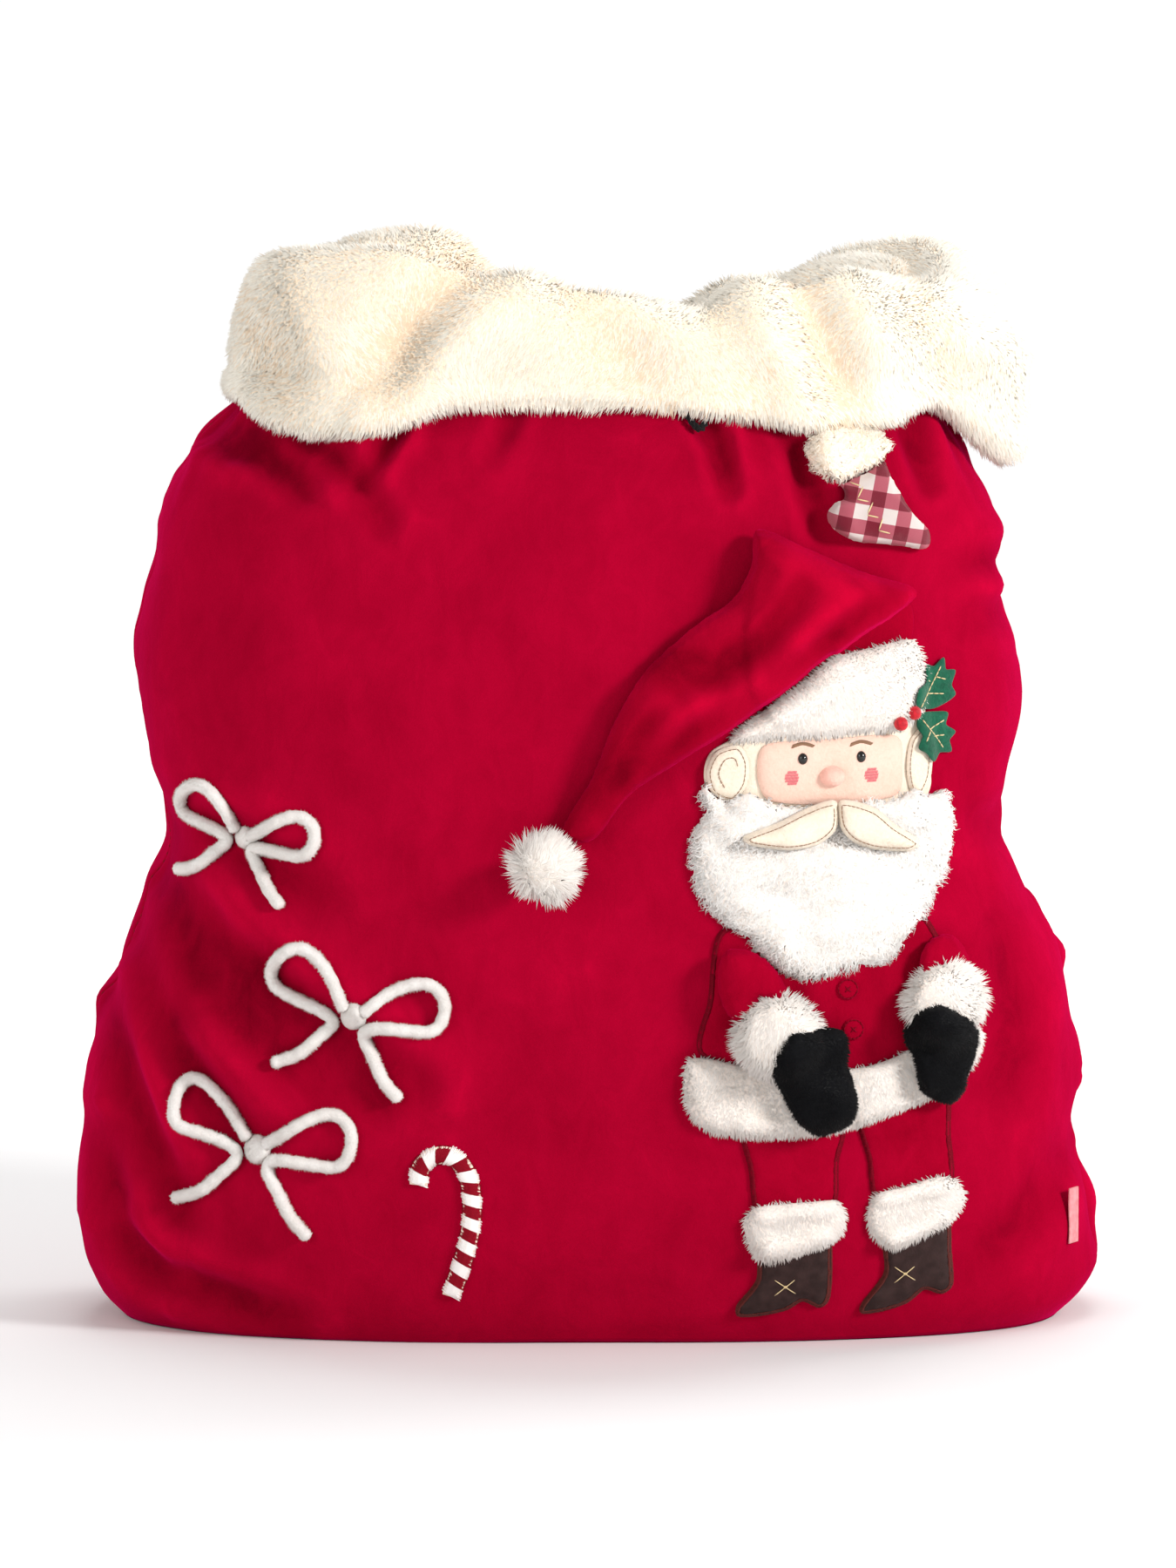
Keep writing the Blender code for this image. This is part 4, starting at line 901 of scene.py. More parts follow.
def satin(bundle, path, width=2.0, pitch=0.55, radius=0.33, height=0.55, m=0, field=None, slant=0.25, closed=False, seed=1):
    """A band of close threads laid across a line, as round an applique's edge."""
    r = np.random.default_rng(seed)
    line = np.asarray(path, float)
    if closed:
        line = np.concatenate([line, line[:1]])
    run = np.concatenate([[0], np.cumsum(np.linalg.norm(np.diff(line, axis=0), axis=1))])
    for s in np.arange(pitch / 2, run[-1], pitch):
        p = np.array([np.interp(s, run, line[:, 0]), np.interp(s, run, line[:, 1])])
        q = np.array([np.interp(min(s + 0.8, run[-1]), run, line[:, 0]), np.interp(min(s + 0.8, run[-1]), run, line[:, 1])])
        w = np.array([np.interp(max(s - 0.8, 0), run, line[:, 0]), np.interp(max(s - 0.8, 0), run, line[:, 1])])
        along = (q - w) / max(np.linalg.norm(q - w), 1e-9)
        side = np.array([-along[1], along[0]])
        half = width / 2 * r.uniform(0.9, 1.08)
        u = np.array([-1, -0.55, 0, 0.55, 1.0])
        xz = p + side * (u[:, None] * half) + along * (u[:, None] * slant)
        lift = height * (1 - u ** 2) + np.array([-0.3, 0, 0, 0, -0.3])
        pts = on_top(xz[:, 0], xz[:, 1], 0.0, field)
        pts[:, 1] -= lift
        bundle.put(*tube_mesh(pts, radius, 4, round_ends=False), m=m)


# ------------------------------------------------------------------ fur
def roots_on(sources, spacing, r):
    """Evenly scattered places on some meshes, with the surface's normals."""
    roots, normals = [], []
    for obj in sources:
        mesh = obj.data
        mesh.calc_loop_triangles()
        p = points_of(obj)
        nv = np.empty(len(mesh.vertices) * 3, np.float32)
        mesh.vertices.foreach_get("normal", nv)
        nv = nv.reshape(-1, 3).astype(float)
        t = np.empty(len(mesh.loop_triangles) * 3, np.int32)
        mesh.loop_triangles.foreach_get("vertices", t)
        t = t.reshape(-1, 3)
        a, b, c = p[t[:, 0]], p[t[:, 1]], p[t[:, 2]]
        area = np.linalg.norm(np.cross(b - a, c - a), axis=1) / 2
        count = int(area.sum() / (spacing * spacing))
        run = np.cumsum(area)
        at = (np.arange(count) + r.uniform(0, 1, count)) * run[-1] / count
        pick = np.minimum(np.searchsorted(run, at), len(area) - 1)
        u, v = r.uniform(0, 1, count), r.uniform(0, 1, count)
        flip = u + v > 1
        u, v = np.where(flip, 1 - u, u), np.where(flip, 1 - v, v)
        w = 1 - u - v
        q = t[pick]
        roots.append(p[q[:, 0]] * w[:, None] + p[q[:, 1]] * u[:, None] + p[q[:, 2]] * v[:, None])
        normals.append(nv[q[:, 0]] * w[:, None] + nv[q[:, 1]] * u[:, None] + nv[q[:, 2]] * v[:, None])
    root, normal = np.concatenate(roots), np.concatenate(normals)
    return root, normal / np.maximum(np.linalg.norm(normal, axis=1), 1e-9)[:, None]


def fur(name, sources, spacing, length, width, mats, body="sack", comb=None, comb_weight=0.5, jitter=0.25, seed=1, clump=0.0,
        clump_size=6.0, segments=2, keep=None, stretch=None, soft=0.75, share=None, most_faces=190000, curl=0.0, turns=1.2,
        droop=0.05, swirl_size=13, painted_shade_odds=None):
    """Plush pile: closed tapering strands rooted evenly over the meshes, leaning with the nap and gathered into tufts."""
    r = np.random.default_rng(seed)
    root, normal = roots_on(sources, spacing, r)
    if keep is not None:
        k = keep(root, normal)
        root, normal = root[k], normal[k]
    count = len(root)
    lean = np.zeros_like(root)
    if comb is not None:
        lean = comb(root, normal)
        lean = lean - normal * (lean * normal).sum(axis=1)[:, None]
        lean /= np.maximum(np.linalg.norm(lean, axis=1), 1e-6)[:, None]
    swirl = np.stack([waves(seed + 50 + i, swirl_size)(root) for i in range(3)], axis=1)
    direction = normal + lean * comb_weight + swirl * jitter * 0.7 + r.normal(size=root.shape) * jitter * 0.55
    direction /= np.linalg.norm(direction, axis=1)[:, None]
    back = (direction * normal).sum(axis=1)
    direction = direction + normal * np.maximum(0, 0.12 - back)[:, None] * 1.5
    direction /= np.linalg.norm(direction, axis=1)[:, None]
    size = length * r.uniform(0.72, 1.12, count) * (1 + 0.10 * waves(seed + 60, 9)(root))
    if stretch is not None:
        size = size * stretch(root, normal)
    tip = root + direction * size[:, None] + lean * (size * 0.18)[:, None] + np.array([0, 0, -1.0]) * (size * droop)[:, None]
    mid = root + direction * (size * 0.55)[:, None]
    if clump > 0:
        m = max(4, int(count * spacing * spacing / (clump_size * clump_size)))
        chosen = r.choice(count, min(m, count), replace=False)
        kd = KDTree(len(chosen))
        for i, c in enumerate(chosen):
            kd.insert(Vector(root[c]), i)
        kd.balance()
        nearest = np.fromiter((kd.find(Vector(p))[1] for p in root), int, count)
        target = tip[chosen][nearest]
        amount = clump * r.uniform(0.6, 1.15, count)[:, None]
        d = tip * (1 - amount) + target * amount - root
        d = d / np.maximum(np.linalg.norm(d, axis=1), 1e-6)[:, None] * size[:, None]
        tip = root + d
        mid = mid * 0.55 + (root + d * 0.5) * 0.45
    across = np.cross(direction, r.normal(size=root.shape))
    across /= np.maximum(np.linalg.norm(across, axis=1), 1e-9)[:, None]
    third = np.cross(direction, across)
    wide = width * r.uniform(0.8, 1.2, count) * 0.5
    start = root - normal * 0.5
    phase = r.uniform(0, 2 * math.pi, count)
    hand = r.choice([-1.0, 1.0], count)
    if clump > 0 and curl > 0:
        phase = phase[chosen][nearest] + r.normal(size=count) * 0.35
        hand = hand[chosen][nearest]
    rings, ring_normals = [], []
    third_turn = np.array([0, 2 * math.pi / 3, 4 * math.pi / 3])
    ring = across[:, None, :] * np.cos(third_turn)[None, :, None] + third[:, None, :] * np.sin(third_turn)[None, :, None]

    def place(t):
        p = start * (1 - t) ** 2 + mid * (2 * t * (1 - t)) + tip * t * t
        if curl > 0:
            w = phase + hand * 2 * math.pi * turns * t
            p = p + (across * np.cos(w)[:, None] + third * np.sin(w)[:, None]) * (curl * min(1.0, t * 2.2))
        return p

    for k in range(segments):
        t = k / segments
        rings.append(place(t)[:, None, :] + ring * (wide * (1 - t * 0.72) ** 0.8)[:, None, None])
        ring_normals.append(ring)
    verts = np.concatenate(rings + [place(1.0)[:, None, :]], axis=1)
    per = 3 * segments + 1
    pattern = [[0, 2, 1]]
    for k in range(segments - 1):
        for i in range(3):
            a, b = 3 * k + i, 3 * k + (i + 1) % 3
            pattern += [[a, b, b + 3], [a, b + 3, a + 3]]
    last = 3 * (segments - 1)
    for i in range(3):
        pattern.append([last + i, last + (i + 1) % 3, per - 1])
    pattern = np.array(pattern)
    rn = np.concatenate(ring_normals + [direction[:, None, :] * 0.2], axis=1)
    shading = normal[:, None, :] * soft + rn * (1 - soft) + direction[:, None, :] * 0.25
    shading /= np.maximum(np.linalg.norm(shading, axis=2), 1e-9)[..., None]
    shade = r.choice(len(mats), count, p=share)
    # painted shade: strands picked by these odds take the last material, a darker warm shade that stands in for shade
    # in creases
    if painted_shade_odds is not None:
        shade = np.where(r.uniform(0, 1, count) < painted_shade_odds(root), len(mats) - 1, shade)
    each = most_faces // len(pattern)
    order = np.argsort(root[:, 0], kind="stable")
    made = []
    for part in range(0, count, each):
        take = order[part:part + each]
        v = verts[take].reshape(-1, 3)
        f = (pattern[None] + (np.arange(len(take)) * per)[:, None, None]).reshape(-1, 3)
        label = name if count <= each else f"{name}_{part // each + 1}"
        obj = build(label, v, f, mats, body, index=np.repeat(shade[take], len(pattern)), closed_out=False)
        obj.data.normals_split_custom_set_from_vertices(shading[take].reshape(-1, 3).tolist())
        obj.visible_shadow = False  # light goes through a pile; its backing casts the shadow
        made.append(obj)
    return made


def down(root, normal):
    return np.tile([0.0, -0.15, -1.0], (len(root), 1))


# the fourth cream shade, peach and darker, is painted shade for the cuff's creases; it is given only where the crease
# odds pick it
CREAM_FUR = fur_mats("fur_cream", ((0.86, 0.81, 0.71), (0.84, 0.775, 0.665), (0.80, 0.71, 0.585), (0.84, 0.665, 0.49)))
WHITE_FUR = fur_mats("fur_white", ((0.77, 0.72, 0.675), (0.75, 0.695, 0.645), (0.72, 0.65, 0.595)))
BEARD_FUR = fur_mats("fur_beard", ((0.77, 0.745, 0.715), (0.745, 0.71, 0.675), (0.69, 0.635, 0.59)))
CURLY_FUR = fur_mats("fur_curly", ((0.90, 0.80, 0.68), (0.86, 0.74, 0.60), (0.76, 0.62, 0.48)))
BLACK_PLUSH = fur_mats("plush_black", ((0.0016, 0.0016, 0.0019), (0.0034, 0.0034, 0.0040), (0.0008, 0.0008, 0.0010)), 0.5, 0.02, 0.10)
FLEECE_FUZZ = fur_mats("fuzz_beige", ((0.80, 0.71, 0.59), (0.76, 0.65, 0.51)))
SHARES = (0.50, 0.35, 0.15)

# ------------------------------------------------------------------ base and lining
def ring_angles():
    one, _ = even_angles(-math.pi, 0, 130)
    two, _ = even_angles(0, math.pi, 110)
    return np.concatenate([one[:-1], two[:-1]])


def velvet_base():
    angles = ring_angles()
    n = len(angles)
    shares = np.linspace(0.0, 1.0, 16)[1:]
    verts, faces = [], []
    wobble = waves(31, 60)
    for layer in (0, 1):
        x, y = ring_point(angles, np.full(n, 3.6 * layer), 3.4)
        for s in shares:
            edge = (1 - s) * 180
            z = (3.6 if layer else 0.0) + (0.35 * (1 - math.exp(-edge / 9)) + 0.0) * (1 if layer else 1)
            p = np.stack([x * s, y * s, np.full(n, z)], axis=1)
            p[:, 2] += np.maximum(0, wobble(p * [1, 1, 0]) * 0.3 + 0.3) * (1 - math.exp(-edge / 14))
            verts.append(p)
    verts.append(np.array([[0, 0, 0.4], [0, 0, 4.2]]))
    rows = len(shares)
    faces += [tuple(f) for f in grid(rows, n, True).tolist()]
    faces += [tuple(f[::-1]) for f in grid(rows, n, True, first=rows * n).tolist()]
    c = 2 * rows * n
    for k in range(n):
        m = (k + 1) % n
        faces += [(k, m, c), (rows * n + m, rows * n + k, c + 1)]
        a, b = (rows - 1) * n + k, (rows - 1) * n + m
        faces.append((a, b, rows * n + b, rows * n + a))
    obj = build("velvet_base", np.concatenate(verts), faces, M_VELVET)
    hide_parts("base_panel")
    return obj


base_skin = velvet_base()


def lining_bag():
    angles = ring_angles()
    n = len(angles)
    heights = np.concatenate([[4.6, 6, 10, 16], np.linspace(24, 498, 80)])
    folds, small = waves(41, 70), waves(42, 22)
    layers = []
    for skin in (0, 1):
        rows = []
        for z in heights:
            inward = 9.0 + 8.5 * min(1.0, (498 - z) / 60)
            low = 1.0 if skin and z < 8 else 0.0
            x, y = ring_point(angles, np.full(n, z), inward)
            p = np.stack([x, y, np.full(n, z + low)], axis=1)
            out = p * [1, 1, 0]
            out /= np.linalg.norm(out, axis=1)[:, None]
            calm_low = min(1.0, (z - 4) / 30)
            p = p + out * ((folds(p) * 1.5 + small(p) * 0.5 - 1.2) * calm_low - skin * 0.9)[:, None]
            rows.append(p)
        layers.append(np.concatenate(rows))
    rows = len(heights)
    faces = [tuple(f) for f in grid(rows, n, True).tolist()] + [tuple(f[::-1]) for f in grid(rows, n, True, first=rows * n).tolist()]
    top = (rows - 1) * n
    c = 2 * rows * n
    for k in range(n):
        m = (k + 1) % n
        faces.append((top + k, top + m, rows * n + top + m, rows * n + top + k))
        faces += [(k, m, c), (rows * n + m, rows * n + k, c + 1)]
    obj = build("lining_skin", np.concatenate(layers + [np.array([[0, 0, 4.5], [0, 0, 5.6]])]), faces, M_LINING)
    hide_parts("lining")
    return obj


lining_skin = lining_bag()

# ------------------------------------------------------------------ fur cuff
CORD_RADIUS = 2.25
CORD_HEIGHT = 488.0
CORD_OUT = 4.7
CHANNEL = CORD_OUT + CORD_RADIUS + 1.4
CUFF_TOP = ((0, 556), (20, 561), (40, 556), (52, 541), (61, 540), (70, 524), (80, 517), (98, 517), (104, 529), (110, 543),
            (118, 546), (135, 543), (150, 545), (160, 548), (172, 549), (182, 549), (192, 551), (205, 557), (222, 563), (234, 565),
            (246, 560), (258, 551), (272, 548), (283, 541), (292, 531), (297, 537), (302, 545), (312, 548), (325, 545), (335, 545),
            (345, 548), (360, 556))
CUFF_HEM = ((0, 453), (20, 462), (40, 474), (60, 480), (90, 478), (120, 474), (150, 476), (175, 484), (190, 486), (205, 484),
            (214, 479), (222, 473), (229, 470), (238, 474), (246, 484), (252, 491), (262, 490), (272, 486), (285, 483), (296, 480),
            (306, 476), (316, 474), (323, 477), (329, 482), (335, 481), (341, 466), (350, 449), (360, 452))
CUFF_OUT = ((0, 51), (20, 43), (40, 31), (60, 26), (90, 24), (120, 25), (150, 27), (180, 27), (200, 29), (225, 27), (250, 22),
            (270, 21), (300, 22), (325, 26), (338, 38), (348, 50), (360, 51))
CUFF_LEAN = ((0, 8), (30, 5), (60, 0), (90, -3), (120, -2), (150, 2), (180, 2), (210, 5), (240, 0), (270, -2), (300, -2),
             (330, 4), (345, 8), (360, 8))
CUFF_SECTION = ((0.0, 0.46), (0.05, 0.76), (0.16, 0.96), (0.34, 1.0), (0.55, 0.95), (0.72, 0.84), (0.86, 0.66), (0.96, 0.42), (1.0, 0.18),
                (0.965, -0.12), (0.88, -0.30))
# Creases of the cuff's front, as lines over the face: points, width, depth, ridge beside the valley.
# Added to the section's shares on the right lobe, which hangs full and round rather than flaring at its hem.
CUFF_FULL = ((-1.0, -0.10), (0.0, -0.14), (0.16, -0.22), (0.34, -0.02), (0.52, 0.22), (0.70, 0.21), (0.86, 0.13), (0.96, 0.02), (2.0, 0.0))
CUFF_FULL_AT = ((0, 1.0), (12, 0.8), (32, 0.0), (322, 0.0), (338, 0.8), (348, 1.0), (360, 1.0))
CUFF_CREASES = (
    (((-52, 560), (-68, 550), (-84, 536), (-97, 520), (-107, 503)), 15, 9.0, 0.85, 0.0),
    (((-9, 548), (8, 526), (26, 510), (40, 496)), 15, 3.6, 0.35, 0.35),
    (((104, 556), (114, 536), (126, 510), (134, 478)), 13, 9.0, 0.5, 0.6),
    (((166, 548), (180, 526), (188, 500)), 10, 2.6, 0.4, 0.4),
    (((-176, 540), (-158, 514), (-150, 492)), 14, 2.6, 0.3, 0.3),
    (((60, 500), (84, 494), (104, 500)), 12, 2.2, 0.3, 0.3),
)
# Pillows of the roll: middle over the face, half sizes, height.
CUFF_PILLOWS = (((-140, 522), (44, 34), 7.5), ((-34, 524), (46, 26), 4.5), ((74, 522), (38, 24), 4.5), ((152, 524), (30, 26), 5.0))
# How far the plush rolls in over the mouth, round the ring.
CUFF_ROLL = ((0, 0.80), (30, 1.0), (60, 1.0), (100, 0.95), (125, 0.7), (150, 0.5), (185, 0.6), (205, 0.95), (228, 1.1), (244, 0.95), (256, 0.4), (290, 0.45), (330, 0.7), (360, 0.80))


# How far the roll goes on rising behind its front edge, round the ring.
CUFF_RISE = ((0, 0), (180, 0), (200, 7), (222, 12), (240, 11), (252, 3), (262, 0), (360, 0))


def cuff_hide():
    """The plush's backing: a fat roll over the mouth, with lobes and creases; its pile is rooted on it."""
    count = 330
    angles, _ = even_angles(0, 2 * math.pi, count)
    angles = angles[:-1]
    px, py = ring_point(angles, np.full(count, PANEL_TOP))
    degree = np.degrees(np.arctan2(py * 1.75, px)) % 360
    top, hem = tab(CUFF_TOP, degree) - 1.0, np.minimum(tab(CUFF_HEM, degree) + 2.0, 486.0)
    roll = tab(CUFF_ROLL, degree)
    out, lean = tab(CUFF_OUT, degree) - 3.2, tab(CUFF_LEAN, degree)
    section = curve([(rise * 60, share * 25) for rise, share in CUFF_SECTION], 2.4)
    section = [(u / 60, w / 25) for u, w in section]
    columns = []
    full = tab(CUFF_FULL_AT, degree)

    def put(distance, z):
        x, y = ring_point(angles, np.minimum(z, PANEL_TOP), -distance)
        return np.stack([x, y, z], axis=1)

    for rise, share in section:
        z = hem + (top - hem) * rise
        over = np.maximum(0, (z - PANEL_TOP) / 50)
        outer_side = 1.0 if share > 0.3 else 0.0
        distance = out * (share + full * outer_side * tab(CUFF_FULL, rise)) + lean * over
        distance = np.maximum(distance, np.where(z < PANEL_TOP, CHANNEL + 1.2, -9))
        columns.append(put(distance, z))
    rise_on = tab(CUFF_RISE, degree)
    for drop, near, far, swell in ((2.5, -5.0, -14.0, 0.5), (8, -7.0, -27.0, 0.95), (16, -8.0, -38.0, 1.0), (26, -9.0, -43.0, 0.7), (38, -9.0, -41.0, 0.3)):
        z = np.maximum(top - drop * (1 - 0.75 * np.clip(rise_on / 12, 0, 1)) + rise_on * swell, PANEL_TOP + 5 + (38 - drop) * 0.2)
        over = np.maximum(0, (z - PANEL_TOP) / 50)
        columns.append(put(near + far * roll * np.clip((top - PANEL_TOP - 8) / 30, 0.2, 1) + lean * over, z))
    for drop, distance in ((0.8, -10.0), (-10, -11.0), (-22, -11.8), (-23, -10.0), (-12, -8.6), (-2, -6.8)):
        columns.append(put(np.full(count, distance), np.full(count, PANEL_TOP + drop)))
    for distance, drop in ((0.5, 2.2), (CHANNEL * 0.3, 0.5), (CHANNEL * 0.85, -3.0), (CHANNEL + 0.2, -8.0)):
        columns.append(put(np.full(count, distance), np.full(count, PANEL_TOP + drop)))
    columns.append(put(np.full(count, CHANNEL + 0.4), (PANEL_TOP - 6 + hem) / 2 + 1.5))
    rows = len(columns)
    p = np.stack(columns).reshape(-1, 3)
    n = skin_normals(p, rows, count, True)
    middle = p.reshape(rows, count, 3).mean(axis=0)
    if ((p.reshape(rows, count, 3) - middle)[4:12] * n.reshape(rows, count, 3)[4:12]).sum() < 0:
        n = -n
    outer = np.zeros((rows, count))
    outer[1:len(section) + 4] = 1.0
    outer = outer.reshape(-1)
    x, y, z = p.T
    d = waves(51, 90)(p) * 2.4 + waves(52, 44)(p) * 0.8
    ahead = np.clip((25 - y) / 40, 0, 1)
    for path, width, depth, one, other in CUFF_CREASES:
        far, along, side = to_line(x, z, path)
        t = far / width
        fade = np.clip(1.25 - np.abs(along - 0.5) * 1.3, 0, 1)
        d += ahead * fade * depth * (-np.exp(-t * t) + np.where(side > 0, one, other) * np.exp(-((t - 1.7) / 0.9) ** 2))
    for (cx, cz), (rx, rz), height in CUFF_PILLOWS:
        d += ahead * height * np.exp(-((x - cx) / rx) ** 2 - ((z - cz) / rz) ** 2)
    p = p + n * (d * outer)[:, None]
    low = z.reshape(rows, count)
    p = p.reshape(rows, count, 3)
    for _ in range(3):
        p = (p * 2 + np.roll(p, 1, 1) + np.roll(p, -1, 1)) / 4
        p[1:-1] = (p[1:-1] * 4 + p[2:] + p[:-2]) / 6
    p = p.reshape(-1, 3)
    f = grid(rows, count, True)
    last = (rows - 1) * count
    k = np.arange(count)
    m = (k + 1) % count
    f = np.concatenate([f, np.stack([last + k, last + m, m, k], axis=1)])
    obj = build("cuff_hide", p, f, M_HIDE)
    return obj


cuff_skin = cuff_hide()


def cuff_comb(root, normal):
    """The nap hangs on the outside and lies back over the fold."""
    lean = np.tile([0.0, 0.0, -1.0], (len(root), 1))
    high = np.clip((root[:, 2] - 530) / 30, 0, 1)
    lean[:, :2] += normal[:, :2] * high[:, None]
    lean[:, 0] += np.sin(root[:, 0] / 31 + root[:, 2] / 17) * 0.5
    return lean


def cuff_keep(root, normal):
    """No pile in the channel of the drawcord, where nobody can see it."""
    x, y = root[:, 0], root[:, 1]
    ring_x, ring_y = np.abs(x), np.abs(y)
    z = np.minimum(root[:, 2], PANEL_TOP)
    a = np.where(x > 0, tab(HALF_RIGHT, z), tab(HALF_LEFT, z)) + CHANNEL + 1.6
    b = np.where(y > 0, tab(HALF_BACK, z), tab(HALF_FRONT, z)) + CHANNEL + 1.6
    inside = (ring_x / a) ** SQUARENESS + (ring_y / b) ** SQUARENESS < 1
    return ~(inside & (root[:, 2] < PANEL_TOP + 3) & ((normal * root)[:, :2].sum(axis=1) < 0) & ~((root[:, 2] > PANEL_TOP - 24) &
             ((ring_x / (a - CHANNEL - 9)) ** SQUARENESS + (ring_y / (b - CHANNEL - 9)) ** SQUARENESS < 1)))


def cuff_stretch(root, normal):
    hem = np.clip((492 - root[:, 2]) / 14, 0, 1) * np.clip(0.4 - normal[:, 2], 0, 1)
    return 1.0 + 0.25 * hem


def cuff_painted_shade(root):
    """Odds that a strand takes the peach shade: painted shade in the front creases, a little of it over the top of the
    roll above 548 mm, and a few strands at random behind.
    """
    x, y, z = root.T
    found = np.zeros(len(root))
    for path, width, depth, _, _ in CUFF_CREASES:
        far, along, _ = to_line(x, z, path)
        fade = np.clip(1.25 - np.abs(along - 0.5) * 1.3, 0, 1)
        found = np.maximum(found, min(1.0, depth / 5.5) * fade * np.exp(-((far / (width * 0.95)) ** 2)))
    return np.where(y < 25, 0.85 * found, 0.05) + 0.12 * np.clip((z - 548) / 12, 0, 1)


# the fourth cream shade is never drawn at random; it comes only through the crease odds below, as painted crease shade
cuff_fur = fur("cuff_pile", [cuff_skin], 1.22, 5.2, 1.0, CREAM_FUR, comb=cuff_comb, comb_weight=0.6, jitter=0.30, seed=11, clump=0.12,
               clump_size=5.0, segments=2, keep=cuff_keep, stretch=cuff_stretch, share=SHARES + (0.0,), soft=0.92, swirl_size=30, painted_shade_odds=cuff_painted_shade)
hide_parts("fur_cuff")

# ------------------------------------------------------------------ drawcord: three plies laid round each other
def drawcord():
    angles = ring_angles()
    fine = np.linspace(0, len(angles), 620, endpoint=False)
    wrapped = np.concatenate([angles, angles[:1] + 2 * math.pi])
    a = np.interp(fine, np.arange(len(wrapped)), wrapped)
    x = ring_point(a, np.full(a.shape, 480.0))[0]
    z = CORD_HEIGHT - np.where(np.sin(a) < 0, 13.0 * np.exp(-(((x - 57) / 6.0) ** 2)), 0)
    px, py = ring_point(a, z, -CORD_OUT)
    path = np.stack([px, py, z], axis=1)
    run = np.concatenate([[0], np.cumsum(np.linalg.norm(np.diff(path, axis=0), axis=1))])
    total = run[-1] + np.linalg.norm(path[0] - path[-1])
    lays = round(total / 9.0)
    along = np.roll(path, -1, 0) - np.roll(path, 1, 0)
    along /= np.linalg.norm(along, axis=1)[:, None]
    up = np.array([0, 0, 1.0]) - along * along[:, 2:3]
    up /= np.linalg.norm(up, axis=1)[:, None]
    side = np.cross(along, up)
    b = Bundle()
    for ply in range(3):
        t = 2 * math.pi * (lays * run / total + ply / 3)
        p = path + up * (np.cos(t) * 1.12)[:, None] + side * (np.sin(t) * 1.12)[:, None]
        b.put(*tube_mesh(p, 1.12, 7, closed=True))
    obj = b.make("drawcord_plies", [M_CORD_BLACK])
    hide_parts("drawcord")
    return obj, total


drawcord_plies, DRAWCORD_LENGTH = drawcord()

# ------------------------------------------------------------------ the padded figure: head and face
HEAD = smooth_outline([(64, 294), (62, 304), (66, 313), (81, 321), (104, 333), (130, 346), (168, 352), (174, 338), (176, 311), (178, 291),
                       (170, 280), (86, 284)])
head = plate("head_panel", HEAD, 1.4, 3.4, M_FLEECE, width=12)
FACE = smooth_outline([(93, 316), (126, 318), (160, 318), (163, 302), (160, 288), (128, 285), (95, 288), (89, 301)])
face = plate("face_panel", FACE, 1.0, 3.4, M_FACE, under=("head_panel",), width=12)
EYE_X, EYE_Z, FACE_MIDDLE = 15.0, 309.0, 127.0


def dome(name, cx, cz, rx, rz, height, mats, under, node=None, body="sack", rows=10, around=24, sink=0.3, power=1.0):
    """A bead or a padded button: a closed dome on what is below it."""
    base_y = float(sample(SKIN, [cx], [cz])[0]) - max(float(sample(TOPS[u], [cx], [cz])[0]) for u in under)
    verts = []
    for k in range(rows):
        t = math.pi * 0.5 * k / rows
        for j in range(around):
            w = 2 * math.pi * j / around
            verts.append((cx + rx * math.cos(t) ** power * math.cos(w), base_y + sink - (height + sink) * math.sin(t), cz + rz * math.cos(t) ** power * math.sin(w)))
    verts.append((cx, base_y - height, cz))
    n = rows * around
    faces = [tuple(f) for f in grid(rows, around, True).tolist()]
    for j in range(around):
        faces.append(((rows - 1) * around + j, (rows - 1) * around + (j + 1) % around, n))
    faces.append(tuple(range(around))[::-1])
    obj = build(name, verts, faces, mats, body)
    if node:
        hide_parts(node)
    return obj


for sign, side in ((-1, "left"), (1, "right")):
    dome(f"bead_eye_{side}", FACE_MIDDLE + sign * EYE_X, EYE_Z, 2.5, 3.0, 2.0, M_BEAD, ("head_panel", "face_panel"), f"eye_{side}")
nose = dome("nose_pad", FACE_MIDDLE, 299.5, 6.6, 5.4, 6.2, M_NOSE, ("head_panel", "face_panel"), "nose", rows=14, around=32)

ear_left = plate("ear_left", smooth_outline([(66, 292), (63, 303), (68, 313), (79, 316), (84, 308), (83, 296), (76, 288)]), 1.2, 3.4,
                 M_FLEECE, under=("head_panel", "face_panel"), width=6, step=1.8)
ear_right = plate("ear_right", smooth_outline([(168, 290), (166, 302), (168, 316), (175, 322), (179, 312), (178, 296), (174, 288)]), 1.2, 3.2,
                  M_FLEECE, under=("head_panel", "face_panel"), width=5, step=1.8)

# ------------------------------------------------------------------ coat, trousers, boots
COAT = smooth_outline([(70, 219), (94, 226), (130, 228), (171, 226), (184, 208), (194, 189), (201, 166), (168, 152), (130, 146), (62, 156),
                       (65, 185)])


def coat_folds(x, z):
    d = np.zeros(x.shape)
    for path, width, depth in ((((112, 216), (108, 190), (102, 160)), 5, 0.9), (((160, 220), (168, 192), (176, 168)), 6, 0.9),
                               (((86, 200), (92, 178), (90, 160)), 5, 0.8), (((146, 204), (150, 180), (146, 158)), 5, 0.7)):
        far, along, side = to_line(x, z, path)
        d += -depth * np.exp(-(far / width) ** 2) + 0.5 * depth * np.exp(-((far - 1.7 * width) / width) ** 2)
    return d


